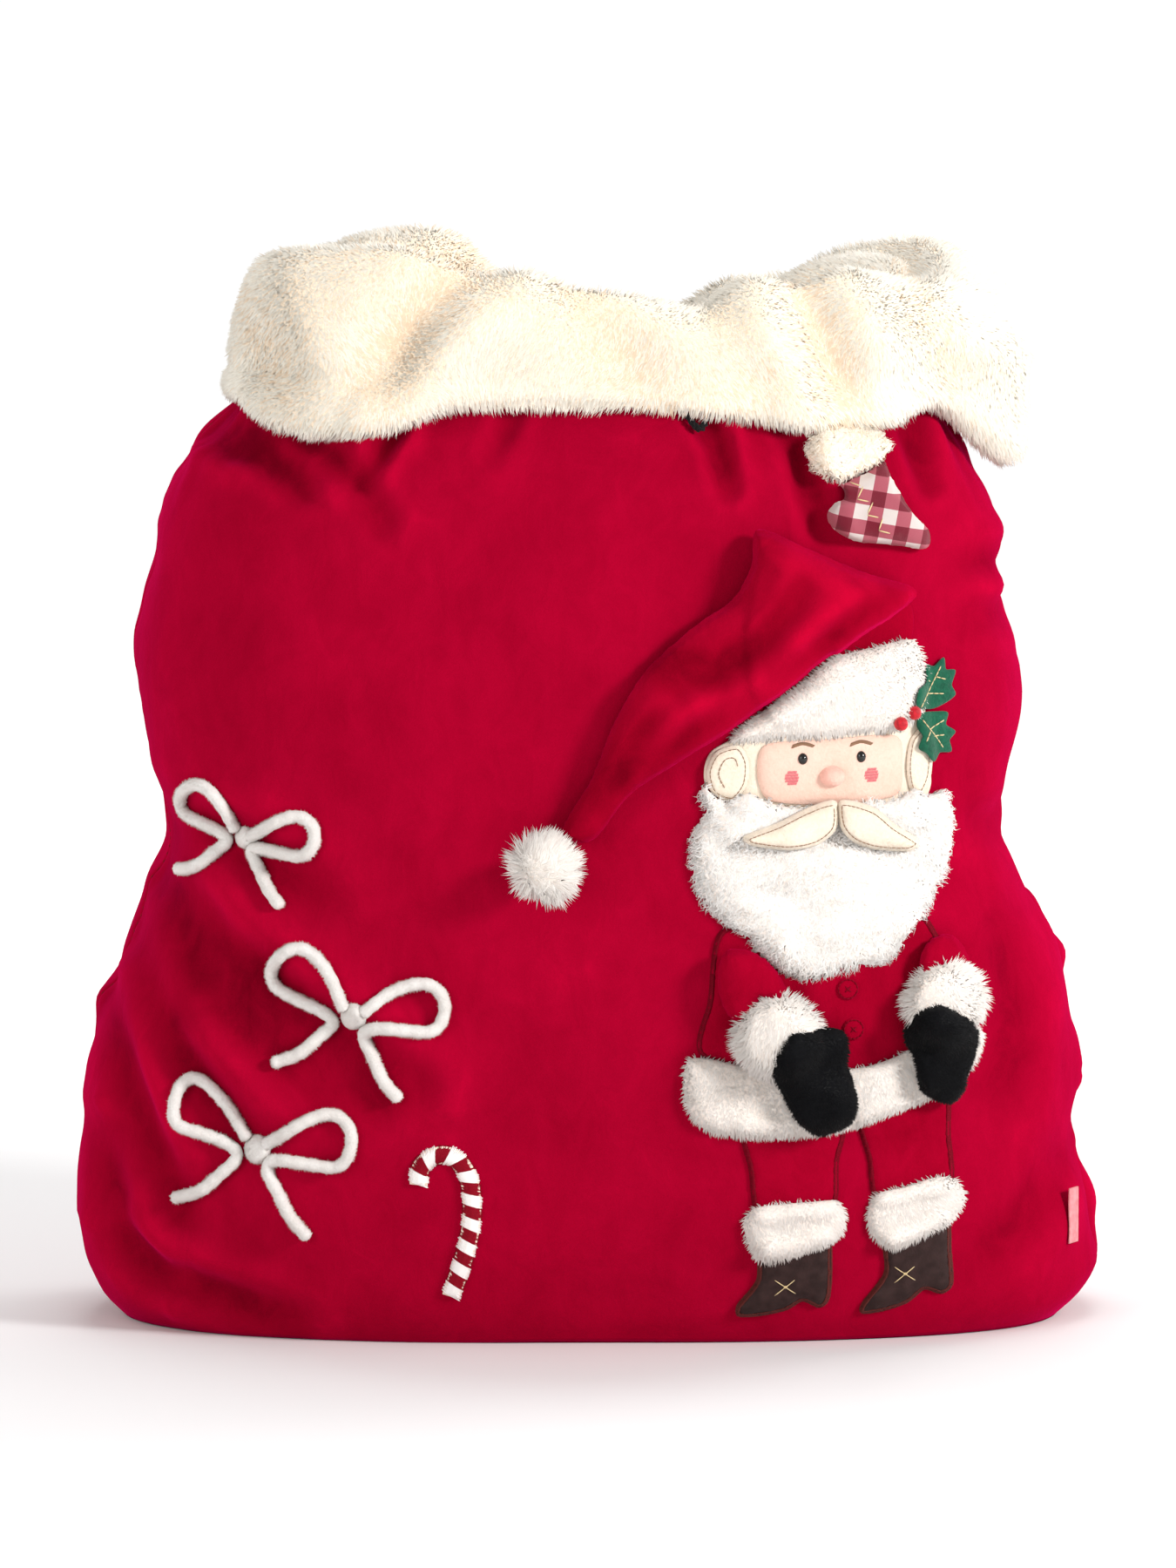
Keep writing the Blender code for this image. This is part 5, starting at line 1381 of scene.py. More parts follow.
coat = plate("coat", COAT, 1.4, 3.8, M_VELVET_COAT, width=16, shape=coat_folds)
LEG_LEFT = smooth_outline([(82, 121), (108, 121), (133, 121), (130, 99), (128, 75), (108, 73), (90, 72), (86, 96)])
LEG_RIGHT = smooth_outline([(142, 125), (164, 130), (186, 135), (188, 110), (189, 84), (170, 81), (151, 79), (147, 100)])
leg_left = plate("trouser_left", LEG_LEFT, 1.2, 3.2, M_VELVET_COAT, width=14)
leg_right = plate("trouser_right", LEG_RIGHT, 1.2, 3.2, M_VELVET_COAT, width=14)
HEM = smooth_outline([(54, 153), (65, 154), (81, 150), (105, 147), (130, 147), (148, 149), (166, 155), (184, 162), (198, 166), (205, 162),
                      (202, 149), (194, 139), (180, 132), (166, 127), (135, 117), (104, 114), (68, 116), (57, 123), (52, 138)])
hem = plate("coat_hem", HEM, 2.0, 8.6, M_HIDE_WHITE, under=("coat", "trouser_left", "trouser_right"), width=13)
BOOT_LEFT = smooth_outline([(92, 55), (110, 59), (125, 62), (127, 42), (126, 26), (122, 21), (113, 25), (104, 20), (90, 17), (80, 17),
                            (80, 22), (90, 36)])
BOOT_RIGHT = smooth_outline([(156, 58), (172, 63), (187, 68), (189, 48), (190, 30), (185, 26), (176, 29), (167, 22), (155, 18), (144, 17),
                             (145, 22), (156, 38)])
boot_left = plate("boot_left", BOOT_LEFT, 1.4, 5.4, M_BOOT, width=9, step=2.0)
boot_right = plate("boot_right", BOOT_RIGHT, 1.4, 5.4, M_BOOT, width=9, step=2.0)
BCUFF_LEFT = smooth_outline([(83, 66), (88, 75), (100, 77), (116, 78), (130, 78), (134, 69), (131, 60), (117, 54), (100, 49), (89, 50)])
BCUFF_RIGHT = smooth_outline([(147, 71), (152, 81), (166, 84), (182, 88), (191, 86), (196, 77), (191, 67), (176, 60), (159, 53), (149, 60)])
bcuff_left = plate("boot_cuff_left", BCUFF_LEFT, 2.0, 7.2, M_HIDE_WHITE, under=("trouser_left", "boot_left"), width=11, step=2.2)
bcuff_right = plate("boot_cuff_right", BCUFF_RIGHT, 2.0, 7.2, M_HIDE_WHITE, under=("trouser_right", "boot_right"), width=11, step=2.2)

BEARD = smooth_outline([(61, 294), (64, 283), (58, 271), (57, 256), (61, 241), (73, 227), (89, 217), (98, 205), (115, 198), (134, 203), (153, 205),
                        (165, 217), (176, 233), (187, 254), (188, 271), (184, 286), (176, 284), (170, 290), (160, 284), (145, 283), (130, 281),
                        (112, 282), (94, 286), (84, 291), (72, 286)])
BEARD_LUMPS, BEARD_ROLLS = waves(91, 12), waves(92, 24)


def beard_shape(x, z):
    p = np.stack([x, z * 0, z], axis=-1)
    return BEARD_LUMPS(p) * 1.1 + BEARD_ROLLS(p) * 0.9


beard = plate("beard", BEARD, 2.6, 9.5, M_HIDE_WHITE, under=("head_panel", "face_panel", "coat", "ear_left", "ear_right"), width=18, shape=beard_shape,
              step=2.2)
MOUSTACHE_LEFT = smooth_outline([(128.5, 287), (115, 284), (99, 277), (82, 271), (86, 267), (104, 264), (120, 266), (129, 274)])
MOUSTACHE_RIGHT = smooth_outline([(131.5, 287), (148, 283), (159, 274), (172, 264), (167, 260), (150, 262), (138, 267), (131.5, 275)])
moustache_left = plate("moustache_left", MOUSTACHE_LEFT, 1.8, 7.6, M_FLEECE, under=("head_panel", "face_panel", "beard"), width=9, step=1.9, lift=3.2)
moustache_right = plate("moustache_right", MOUSTACHE_RIGHT, 1.8, 7.6, M_FLEECE, under=("head_panel", "face_panel", "beard"), width=9, step=1.9, lift=3.2)

# ------------------------------------------------------------------ hat
CROWN = smooth_outline([(93, 417), (130, 402), (166, 386), (167, 364), (152, 352), (140, 348), (118, 336), (100, 330), (88, 345), (84, 378)])
crown = plate("hat_crown", CROWN, 1.4, 2.8, M_VELVET_HAT, under=("head_panel",), width=14)
BRIM = smooth_outline([(76, 319.5), (80, 324), (93, 333.5), (110, 345), (127, 358.5), (150, 363.5), (168, 366), (173, 356), (174.5, 343), (171, 330),
                       (162, 322.5), (144, 322.5), (121, 321), (98, 320.5), (86, 319.5)])
brim = plate("hat_brim", BRIM, 2.0, 8.5, M_HIDE_WHITE, under=("head_panel", "face_panel", "hat_crown"), width=13, step=2.2)
LEAF_UPPER = smooth_outline([(171, 334), (172, 342), (176, 345), (176, 353), (180, 352), (185, 356), (186, 350), (191, 349), (189, 342),
                             (191, 337), (185, 333), (178, 331)], 1.4)
LEAF_LOWER = smooth_outline([(173, 329), (180, 329), (187, 328), (186, 322), (191, 318), (188, 314), (189, 308), (183, 308), (180, 304),
                             (176, 309), (172, 312), (174, 318), (171, 323)], 1.4)
leaf_upper = plate("holly_leaf_upper", LEAF_UPPER, 0.9, 1.9, M_FELT, under=("head_panel", "hat_brim", "ear_right"), width=4, step=1.5, lift=2.4)
leaf_lower = plate("holly_leaf_lower", LEAF_LOWER, 0.9, 1.9, M_FELT, under=("head_panel", "hat_brim", "ear_right"), width=4, step=1.5, lift=2.0)


def bead(name, centre, radius, mats, node, rings=14, around=24):
    cx, cy, cz = centre
    verts, faces = [], grid(rings - 1, around, True).tolist()
    for k in range(1, rings):
        t = math.pi * k / rings
        for j in range(around):
            w = 2 * math.pi * j / around
            g = 1 + 0.025 * math.sin(5 * w + t * 3) * math.sin(t)
            verts.append((cx + radius * g * math.sin(t) * math.cos(w), cy - radius * g * math.sin(t) * math.sin(w), cz + radius * g * math.cos(t)))
    n = len(verts)
    verts += [(cx, cy, cz + radius * 0.94), (cx, cy, cz - radius * 0.94)]
    for j in range(around):
        m = (j + 1) % around
        faces += [(j, m, n), (n - around + j, n - around + m, n + 1)]
    obj = build(name, verts, [tuple(f) for f in faces], mats)
    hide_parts(node)
    return obj


for number, (x, z) in enumerate(((162.5, 325.5), (169.5, 330.5)), 1):
    low = max(float(sample(TOPS[u], [x], [z])[0]) for u in ("head_panel", "hat_brim", "holly_leaf_upper", "holly_leaf_lower", "ear_right", "face_panel"))
    bead(f"holly_berry_{number}", (x, float(sample(SKIN, [x], [z])[0]) - low - 3.4, z), 3.6, M_BERRY, f"berry_{number}")

FOLD_LEFT, FOLD_RIGHT = (90.0, 427.0), (170.0, 392.5)
POMPOM = (-20.0, 256.0)
TIP = (-6.2, 274.4)
TAIL = smooth_outline([FOLD_LEFT, (117, 415.5), (143, 404), FOLD_RIGHT, (160, 381), (141, 369), (116, 350.5), (88, 331), (58, 313), (24, 291), (2, 268),
                       (-13.0, 271.5), (3, 300), (15, 330), (31, 356), (57, 379), (76, 392), (86, 410)])


def clear_of(outline, other, gap):
    o = np.array(other)
    middle = o.mean(axis=0)
    found = np.array(outline, float)
    for _ in range(60):
        near = inside_outline(found[:, 0], found[:, 1], other) | (edge_distance(found[:, 0], found[:, 1], other) < gap)
        if not near.any():
            break
        d = found - middle
        d /= np.linalg.norm(d, axis=1)[:, None]
        found[near] += d[near] * 0.6
    return [tuple(p) for p in found]


TAIL = clear_of(TAIL, BRIM, 2.0)


def tail_share(x, z):
    along = ((FOLD_LEFT[0] + FOLD_RIGHT[0]) / 2 - x) * 0.75 + ((FOLD_LEFT[1] + FOLD_RIGHT[1]) / 2 - z) * 0.66
    return 1.0 - 0.42 * np.clip((along - 20) / 170, 0, 1)


TAIL_FOLDS = (
    (((34, 361), (50, 355), (67, 356), (91, 372), (110, 398)), 10, 8.0, 0.6),
    (((156, 392), (128, 374), (98, 354)), 7, 4.2, 0.6),
    (((98, 418), (90, 398), (74, 380), (50, 362)), 7, 3.4, 0.6),
    (((44, 344), (26, 320), (8, 288)), 7, 3.2, 0.6),
    (((104, 362), (80, 342), (48, 320), (22, 298)), 7, 3.4, 0.6),
    (((66, 374), (48, 362), (32, 346)), 5, 1.8, 0.5),
)


def tail_folds(x, z):
    d = waves(71, 26)(np.stack([x, z * 0, z], axis=-1)) * 0.7
    return d + tail_lines(x, z)


def tail_lines(x, z):
    d = np.zeros(x.shape)
    for path, width, depth, ridge in TAIL_FOLDS:
        far, along, side = to_line(x, z, path)
        fade = np.clip(1.2 - np.abs(along - 0.5) * 1.5, 0, 1)
        t = far / width
        d += fade * depth * (-np.exp(-t * t) + ridge * np.exp(-((t - 1.7) / 0.8) ** 2))
    return d


tail = plate("hat_tail", TAIL, 5.0, 23.0, M_VELVET_TAIL, under=("hat_crown", "head_panel"), width=22, lift=0.4, taper=tail_share, shape=tail_folds,
             body=None, record=True, step=2.3, round_back=True)
puff(tail, voxel=2.1, cap=1.6, shrink=0.995, key="hat_tail")
_p = points_of(tail)
# painted shading on the tail: darker in its fold valleys, lighter on ridges, and lighter towards the right side where
# the key light falls
set_painted_shading(tail, 0.47 + 0.50 * np.tanh((tail_lines(_p[:, 0], _p[:, 2]) + 0.5) / 4.0) + 0.16 * np.clip((_p[:, 0] - 60) / 80, -1, 1))
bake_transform(tail)


# ------------------------------------------------------------------ arms
def push_out(outline, cx, cz, radius):
    """Bites a circle out of an outline."""
    o = np.array(outline, float)
    d = o - (cx, cz)
    r = np.linalg.norm(d, axis=1)
    kept = r >= radius
    if kept.all():
        return outline
    n = len(o)
    start = next(i for i in range(n) if kept[i] and not kept[i - 1])
    turned = np.roll(o, -start, axis=0)
    far = np.linalg.norm(turned - (cx, cz), axis=1) >= radius
    stop = int(np.argmax(~far)) if (~far).any() else n
    found = [tuple(p) for p in turned[:stop]]
    first = math.atan2(found[-1][1] - cz, found[-1][0] - cx)
    last = math.atan2(found[0][1] - cz, found[0][0] - cx)
    mx, mz = np.mean(np.array(found), axis=0)
    facing = math.atan2(mz - cz, mx - cx)
    ahead = (last - first) % (2 * math.pi)
    turn = ahead if (facing - first) % (2 * math.pi) < ahead else ahead - 2 * math.pi
    parts = max(2, round(abs(turn) * radius / 2))
    for k in range(1, parts):
        t = first + turn * k / parts
        found.append((cx + radius * math.cos(t), cz + radius * math.sin(t)))
    return found


ARM_BELOW = ("coat", "coat_hem")


MITTENS = {}


def clear_of_mitten(side):
    """No pile where the hand comes out of its cuff."""
    line = MITTENS[side]
    return lambda p, n: ~(inside_outline(p[:, 0], p[:, 2], line) & (edge_distance(p[:, 0], p[:, 2], line) > 0.8) & (n[:, 1] < 0.35))


def arm(side, sleeve, cuff_middle, cuff_radius, mitten):
    cx, cz = cuff_middle
    body = f"arm_{side}"
    sleeve_line = push_out(smooth_outline(sleeve), cx, cz, cuff_radius - 3.0)
    mitten_line = smooth_outline(mitten)
    MITTENS[side] = mitten_line
    seed = waves(81 if side == "left" else 82, 20)

    def soft(x, z):
        return seed(np.stack([x, z * 0, z], axis=-1)) * 0.8

    made = {
        "sleeve": plate(f"sleeve_{side}", sleeve_line, 2.8, 14.4, M_VELVET_COAT, under=ARM_BELOW, width=13, lift=0.5, step=2.0, body=body,
                        shape=soft, round_back=True),
        "cuff": plate(f"sleeve_cuff_{side}", circle(cx, cz, cuff_radius - 2.0, None, 40), 5.0, 23.0, M_HIDE_WHITE, under=ARM_BELOW,
                      width=cuff_radius - 2.0, lift=1.2, step=2.4, body=body, round_back=True),
    }
    # the hand lies in front of its cuff: its back follows the cuff's front at the wrist
    made["mitten"] = plate(f"mitten_{side}", mitten_line, 3.4, 13.5, M_HIDE_BLACK, under=ARM_BELOW + (f"sleeve_cuff_{side}",), width=15, lift=0.2,
                           least=7.0, step=2.0, body=body, shape=soft, round_back=True, smoothing=70)
    puff(made["sleeve"], cap=2.2, key=f"sleeve_{side}")
    puff(made["mitten"], cap=2.2, key=f"mitten_{side}")
    return made


left_arm = arm("left", [(73, 212.5), (84, 212.5), (93, 208), (101, 199), (106, 186), (102, 172), (85, 171), (74, 178), (69, 190), (69, 204)],
               (99.5, 168), 21.5, [(108.5, 172.5), (123.7, 173.6), (133.9, 170.2), (136.4, 162), (136.5, 152), (139.5, 144), (141.7, 132.7), (138.4, 121.3),
                                   (128.2, 115.5), (119.2, 115.2), (110.2, 120.2), (103.5, 130.4), (97.9, 141.8), (95, 149.7), (96.8, 156.5),
                                   (102.4, 165)])
right_arm = arm("right", [(181, 216), (190, 214), (198, 203), (198, 188), (176, 188), (172, 200), (175, 211)], (186, 182), 20.5,
                [(166.5, 173.6), (172.1, 181.6), (182.2, 184.3), (190.1, 181.6), (198, 176), (201.4, 169), (201.8, 160), (199.1, 146.4), (195.7, 135),
                 (190.6, 127.7), (180, 130.5), (172.1, 137.3), (168.7, 151), (165.4, 162.3), (164.7, 169)])

# ------------------------------------------------------------------ candy cane
CANE = curve([(-85, 88), (-83.5, 97), (-76.5, 103), (-67, 102.5), (-60, 94), (-57.5, 82), (-58, 66), (-62, 48), (-68.5, 28)], 1.0)


def ribbon_outline(line, half):
    along = np.gradient(line, axis=0)
    along /= np.linalg.norm(along, axis=1)[:, None]
    side = np.stack([-along[:, 1], along[:, 0]], axis=1) * half
    return [tuple(p) for p in np.concatenate([line + side, (line - side)[::-1]])]


cane = plate("cane_padding", ribbon_outline(CANE[::2], 4.3), 1.0, 2.4, M_FLEECE, width=4.3, step=1.8)
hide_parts("candy_cane")
threads = Bundle()
cane_run = np.concatenate([[0], np.cumsum(np.linalg.norm(np.diff(CANE, axis=0), axis=1))])
blocks = 17
for k in range(blocks):
    a, b = cane_run[-1] * k / blocks, cane_run[-1] * (k + 1) / blocks
    u = np.linspace(a, b, 12)
    part = np.stack([np.interp(u, cane_run, CANE[:, 0]), np.interp(u, cane_run, CANE[:, 1])], axis=1)
    satin(threads, part, 10.2, 0.62, 0.42, 0.35, m=k % 2, slant=1.6, seed=k)
cane_threads = threads.make("cane_satin", [thread_mat("thread_white", (0.90, 0.87, 0.84), 0.5, 0.3, 0.2), M_THREAD_CANE])

# ------------------------------------------------------------------ bows of couched cord
CORD = 3.3
BOWS = (((-174, 264), 34.0, -14.0), ((-118, 176), 43.0, -14.0), ((-168, 104), 45.0, -12.0))
HALF_BOW = ((0.10, 0.08), (0.40, 0.44), (0.78, 0.66), (1.06, 0.46), (1.02, 0.04), (0.66, 0.00), (0.34, -0.02), (0.13, -0.12), (0.36, -0.42),
            (0.52, -0.66), (0.80, -0.86))


def rounded(points, times=3):
    """Corner cutting: an even, soft line through a run of corners."""
    p = np.array(points, float)
    for _ in range(times):
        q = np.empty((2 * len(p) - 2, 2))
        q[0::2] = p[:-1] * 0.75 + p[1:] * 0.25
        q[1::2] = p[:-1] * 0.25 + p[1:] * 0.75
        p = np.concatenate([p[:1], q, p[-1:]])
    return p



bow_cores = []
for number, ((bx, bz), size, turn) in enumerate(BOWS, 1):
    t = math.radians(turn)

    def place(u, v):
        return (bx + size * (u * math.cos(t) - v * math.sin(t)), bz + size * (u * math.sin(t) + v * math.cos(t)))

    for sign, side in ((-1, "left"), (1, "right")):
        line = curve([tuple(q) for q in rounded([place(sign * u, v) for u, v in HALF_BOW])], 1.0)
        slope_x = (sample(SKIN, line[:, 0] + 2, line[:, 1]) - sample(SKIN, line[:, 0] - 2, line[:, 1])) / 4
        slope_z = (sample(SKIN, line[:, 0], line[:, 1] + 2) - sample(SKIN, line[:, 0], line[:, 1] - 2)) / 4
        out = np.stack([slope_x, -np.ones(len(line)), slope_z], axis=1)
        out /= np.linalg.norm(out, axis=1)[:, None]
        skin = np.stack([line[:, 0], sample(SKIN, line[:, 0], line[:, 1]), line[:, 1]], axis=1)
        p = skin + out * 3.0
        for _ in range(8):
            p[1:-1] = (p[:-2] + 2 * p[1:-1] + p[2:]) / 4
        run = np.concatenate([[0], np.cumsum(np.linalg.norm(np.diff(p, axis=0), axis=1))])
        radius = 3.2 * (1 + 0.045 * np.sin(run * 2 * math.pi / 7.5)) * np.clip(np.minimum(run, run[-1] - run) / 3 + 0.55, 0, 1)
        v, f = tube_mesh(p, radius, 14)
        core = build(f"bow_{number}_{side}_core", v, f, M_CHENILLE)
        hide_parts(f"bow_{number}_{side}")
        bow_cores.append(core)
    knot_line = circle(bx, bz - size * 0.01, size * 0.135, size * 0.155, 28, t)
    knot = plate(f"bow_{number}_wrap", knot_line, 2.4, 7.2, M_CHENILLE, width=5, step=1.6)
    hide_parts(f"bow_{number}_knot")
    bow_cores.append(knot)
    fur(f"bow_{number}_fuzz", bow_cores[-3:], 0.95, 1.3, 0.6, WHITE_FUR[:2], jitter=0.9, seed=100 + number, segments=1, clump=0.0, soft=0.8)

# ------------------------------------------------------------------ stocking
ST_LEG = [(128, 455), (138, 452), (152, 459), (159, 449), (168, 434), (178, 420), (176, 411), (165, 413), (153, 415), (139, 417), (128, 423), (124, 430),
          (127, 437), (133, 441), (132, 448)]
ST_CUFF = [(x, z - 1.0) for x, z in ((113, 462), (115, 470), (124, 475.5), (138, 477), (152, 473), (158, 466), (155, 460), (144, 454), (132, 450), (119, 454))]
M_GINGHAM = new_mat("gingham", (0.5, 0.1, 0.1), 0.85, 0.15, specular=0.15)
_n = Nodes(M_GINGHAM)
_turned = _n.stretch(1.0, 1.0, 1.0, (0, math.radians(-12), 0))
_split = M_GINGHAM.node_tree.nodes.new("ShaderNodeSeparateXYZ")
M_GINGHAM.node_tree.links.new(_turned, _split.inputs[0])
_one = _n.maths("GREATER_THAN", _n.maths("FRACT", _n.maths("MULTIPLY", _split.outputs[0], 1 / 0.0150), 0), 0.5)
_two = _n.maths("GREATER_THAN", _n.maths("FRACT", _n.maths("MULTIPLY", _split.outputs[2], 1 / 0.0150), 0), 0.5)
_sum = _n.maths("MULTIPLY", _n.maths("ADD", _one, _two), 0.5)
_weave = _n.maths("ADD", _n.wave(1250.0, "X", 0.6, _turned), _n.wave(1250.0, "Z", 0.6, _turned))
_sum = _n.maths("ADD", _sum, _n.maths("MULTIPLY", _n.maths("SUBTRACT", _weave, 1.0), 0.07))
_n.to("Base Color", _n.ramp(_sum, ((0.0, (0.76, 0.66, 0.62)), (0.22, (0.76, 0.66, 0.62)), (0.36, (0.46, 0.095, 0.13)), (0.64, (0.46, 0.095, 0.13)),
                                   (0.78, (0.19, 0.004, 0.020)), (1.0, (0.19, 0.004, 0.020)))))
_n.to("Normal", _n.bump(_weave, 0.00016, 0.8))
stocking_cuff_line = smooth_outline(ST_CUFF)
stocking_line = clear_of(smooth_outline(ST_LEG), [tuple(p) for p in ST_CUFF], 0.0)


def sock_soft(x, z):
    d = np.zeros(x.shape)
    for path, width, depth in ((((130, 432), (142, 428), (150, 418)), 4, 1.2), (((134, 444), (146, 440), (160, 440)), 4, 0.8)):
        far = to_line(x, z, path)[0]
        d -= depth * np.exp(-(far / width) ** 2)
    return d


stocking_leg = plate("stocking_cloth", stocking_line, 3.2, 12.2, M_GINGHAM, width=11, step=1.8, lift=1.2, body="stocking", shape=sock_soft, round_back=True)
puff(stocking_leg, voxel=1.8, cap=1.6, key="stocking_cloth")
stocking_band = plate("stocking_band", smooth_outline([(135 + (x - 135) * 0.9, 463 + (z - 463) * 0.84) for x, z in ST_CUFF]), 3.6, 11.4, M_HIDE, width=9, step=2.0,
                      lift=1.6, body="stocking", round_back=True)
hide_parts("stocking_leg")
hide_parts("stocking_cuff")
lp = np.array([(137.0 + dx, float(sample(SKIN, [137.0], [z])[0]) - 2.0 - off, z) for dx, off, z in
               ((-1.2, 1.5, 476), (-1.4, 1.0, 480), (-1.0, 0.4, 484), (0.0, 0.2, 486.5), (1.0, 0.4, 484), (1.4, 1.0, 480), (1.2, 1.5, 476))])
loop = Bundle()
lp = curve([tuple(p) for p in lp], 0.8)
loop.put(*tube_mesh(lp, 0.75, 8))
stocking_loop = loop.make("hanging_loop", [M_THREAD_RED])
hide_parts("stocking_loop")

# ------------------------------------------------------------------ side tag
TAG_X, TAG_LOW, TAG_HIGH, TAG_LENGTH = 255.5, 44.0, 73.0, 9.0


def side_tag():
    root_y = float(sample(SKIN, [TAG_X], [58.5])[0])
    a = np.array([TAG_X, root_y])
    b = np.array([TAG_X - 6, float(sample(SKIN, [TAG_X - 6], [58.5])[0])])
    along = (b - a) / np.linalg.norm(b - a)
    out = np.array([along[1], -along[0]])
    if out[1] > 0:
        out = -out
    a = a + out * 1.0
    section = []
    runs = np.linspace(-0.4, TAG_LENGTH - 0.8, 14)
    turns = np.linspace(-math.pi / 2, math.pi / 2, 9)
    for way, low, high, radius in ((1, 0.60, 1.80, 0.60), (-1, 0.88, 1.52, 0.32)):  # the ribbon's outer face, then its inner one
        face_out = [(u, low + 0.06 * math.sin(u * 0.5)) for u in runs]
        face_out += [(TAG_LENGTH - 0.8 + radius * math.cos(w), 1.20 + radius * math.sin(w)) for w in turns[1:-1]]
        face_out += [(u, high + 0.08 * math.sin(u * 0.6)) for u in runs[::-1]]
        section += face_out[::way]
    s = np.array(section)
    rows = np.linspace(TAG_LOW, TAG_HIGH, 36)
    verts = []
    for h in rows:
        bow = 0.25 * math.sin((h - TAG_LOW) / (TAG_HIGH - TAG_LOW) * math.pi * 2)
        p = a + along * s[:, :1] + out * (s[:, 1:] * 0.8 + bow * (s[:, :1] / TAG_LENGTH))
        verts.append(np.column_stack([p, np.full(len(s), h)]))
    n = len(s)
    faces = [tuple(f) for f in grid(len(rows), n, True).tolist()]
    faces += [tuple(range(n))[::-1], tuple((len(rows) - 1) * n + k for k in range(n))]
    obj = build("tag_ribbon", np.concatenate(verts), faces, M_TAG, "side_tag")
    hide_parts("side_tag")
    return obj


tag_ribbon = side_tag()

# ------------------------------------------------------------------ pile on the trims
fur("brim_pile", [brim], 1.1, 3.8, 0.95, WHITE_FUR, comb=down, comb_weight=0.35, jitter=0.42, seed=21, clump=0.2, clump_size=5, share=SHARES, soft=0.85,
    keep=lambda p, n: n[:, 1] < 0.45)
fur("hem_pile", [hem], 1.1, 3.4, 0.95, WHITE_FUR, comb=down, comb_weight=0.4, jitter=0.38, seed=22, clump=0.18, clump_size=6, share=SHARES, soft=0.85,
    keep=lambda p, n: n[:, 1] < 0.45)
fur("boot_pile", [bcuff_left, bcuff_right], 1.1, 3.3, 0.95, WHITE_FUR, comb=down, comb_weight=0.4, jitter=0.38, seed=23, clump=0.18, clump_size=5,
    share=SHARES, soft=0.85, keep=lambda p, n: n[:, 1] < 0.45)


def beard_comb(root, normal):
    """Locks fall away from the mouth."""
    d = root - np.array([130, -150, 300.0])
    d[:, 1] *= 0.1
    d[:, 2] -= 26
    d /= np.maximum(np.linalg.norm(d, axis=1), 1e-6)[:, None]
    d[:, 0] += np.sin(root[:, 2] / 9 + root[:, 0] / 14) * 0.55
    return d


fur("beard_locks", [beard], 1.3, 5.4, 1.1, BEARD_FUR, comb=beard_comb, comb_weight=0.7, jitter=0.55, seed=24, clump=0.5, clump_size=5.5,
    segments=3, share=SHARES, curl=1.2, turns=1.1, keep=lambda p, n: n[:, 1] < 0.45, soft=0.72)
for side, pieces in (("left", left_arm), ("right", right_arm)):
    fur(f"sleeve_pile_{side}", [pieces["cuff"]], 1.1, 6.2, 0.95, WHITE_FUR, body=f"arm_{side}", comb=down, comb_weight=0.3, jitter=0.42,
        seed=25 if side == "left" else 26, clump=0.12, clump_size=5.5, share=SHARES, soft=0.8, keep=clear_of_mitten(side))
    fur(f"mitten_plush_{side}", [pieces["mitten"]], 0.95, 1.7, 0.7, BLACK_PLUSH, body=f"arm_{side}", comb=down, comb_weight=0.3, jitter=0.6,
        seed=27 if side == "left" else 28, segments=1, share=SHARES)
fur("stocking_pile", [stocking_band], 1.2, 4.6, 1.1, CURLY_FUR, body="stocking", comb=down, comb_weight=0.3, jitter=1.0, seed=29, clump=0.7,
    clump_size=4.5, share=SHARES, curl=0.9, segments=3)
fur("ear_fuzz", [ear_left, ear_right, moustache_left, moustache_right], 0.85, 1.1, 0.45, FLEECE_FUZZ, jitter=1.0, seed=30, segments=1,
    keep=lambda p, n: n[:, 1] < 0.3)


def pompom():
    """A ball of yarn ends round a small core."""
    cx, cz = POMPOM
    cy = float(sample(SKIN, [cx], [cz])[0]) - 21.0
    rings, around, radius = 20, 36, 12.0
    verts, faces = [], [tuple(f) for f in grid(rings - 1, around, True).tolist()]
    for k in range(1, rings):
        t = math.pi * k / rings
        for j in range(around):
            w = 2 * math.pi * j / around
            verts.append((cx + radius * math.sin(t) * math.cos(w), cy - radius * math.sin(t) * math.sin(w), cz + radius * math.cos(t)))
    n = len(verts)
    verts += [(cx, cy, cz + radius), (cx, cy, cz - radius)]
    for j in range(around):
        m = (j + 1) % around
        faces += [(j, m, n), (n - around + j, n - around + m, n + 1)]
    core = build("pompom_core", verts, faces, M_HIDE_WHITE, "hat_pompom")
    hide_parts("hat_pompom")
    fur("pompom_pile", [core], 0.92, 10.5, 1.25, WHITE_FUR, body="hat_pompom", jitter=0.8, seed=35, clump=0.55, clump_size=4.2, share=SHARES,
        segments=3, soft=0.5)
    return core


pompom_core = pompom()

# ------------------------------------------------------------------ stitching
red, brown, gold, pink, cream = Bundle(), Bundle(), Bundle(), Bundle(), Bundle()
satin(red, COAT, 2.6, 0.72, 0.40, 0.45, closed=True, seed=2, field=TOPS["coat"])
satin(red, LEG_LEFT, 2.6, 0.72, 0.40, 0.45, closed=True, seed=3, field=TOPS["trouser_left"])
satin(red, LEG_RIGHT, 2.6, 0.72, 0.40, 0.45, closed=True, seed=4, field=TOPS["trouser_right"])
for number, (x, z) in enumerate(((135.5, 190), (138.5, 169)), 1):
    plate(f"button_{number}", circle(x, z, 5.6, 5.6, 30), 0.5, 1.1, M_VELVET_COAT, under=("coat",), width=4, step=1.6)
    back_stitch(red, circle(x, z, 4.9, 4.9, 30) + [(x + 4.9, z)], 0.34, stitch=1.9)
    for dx in (-1.6, 1.6):
        back_stitch(red, [(x - dx, z - 1.6), (x + dx, z + 1.6)], 0.3, stitch=4.2)


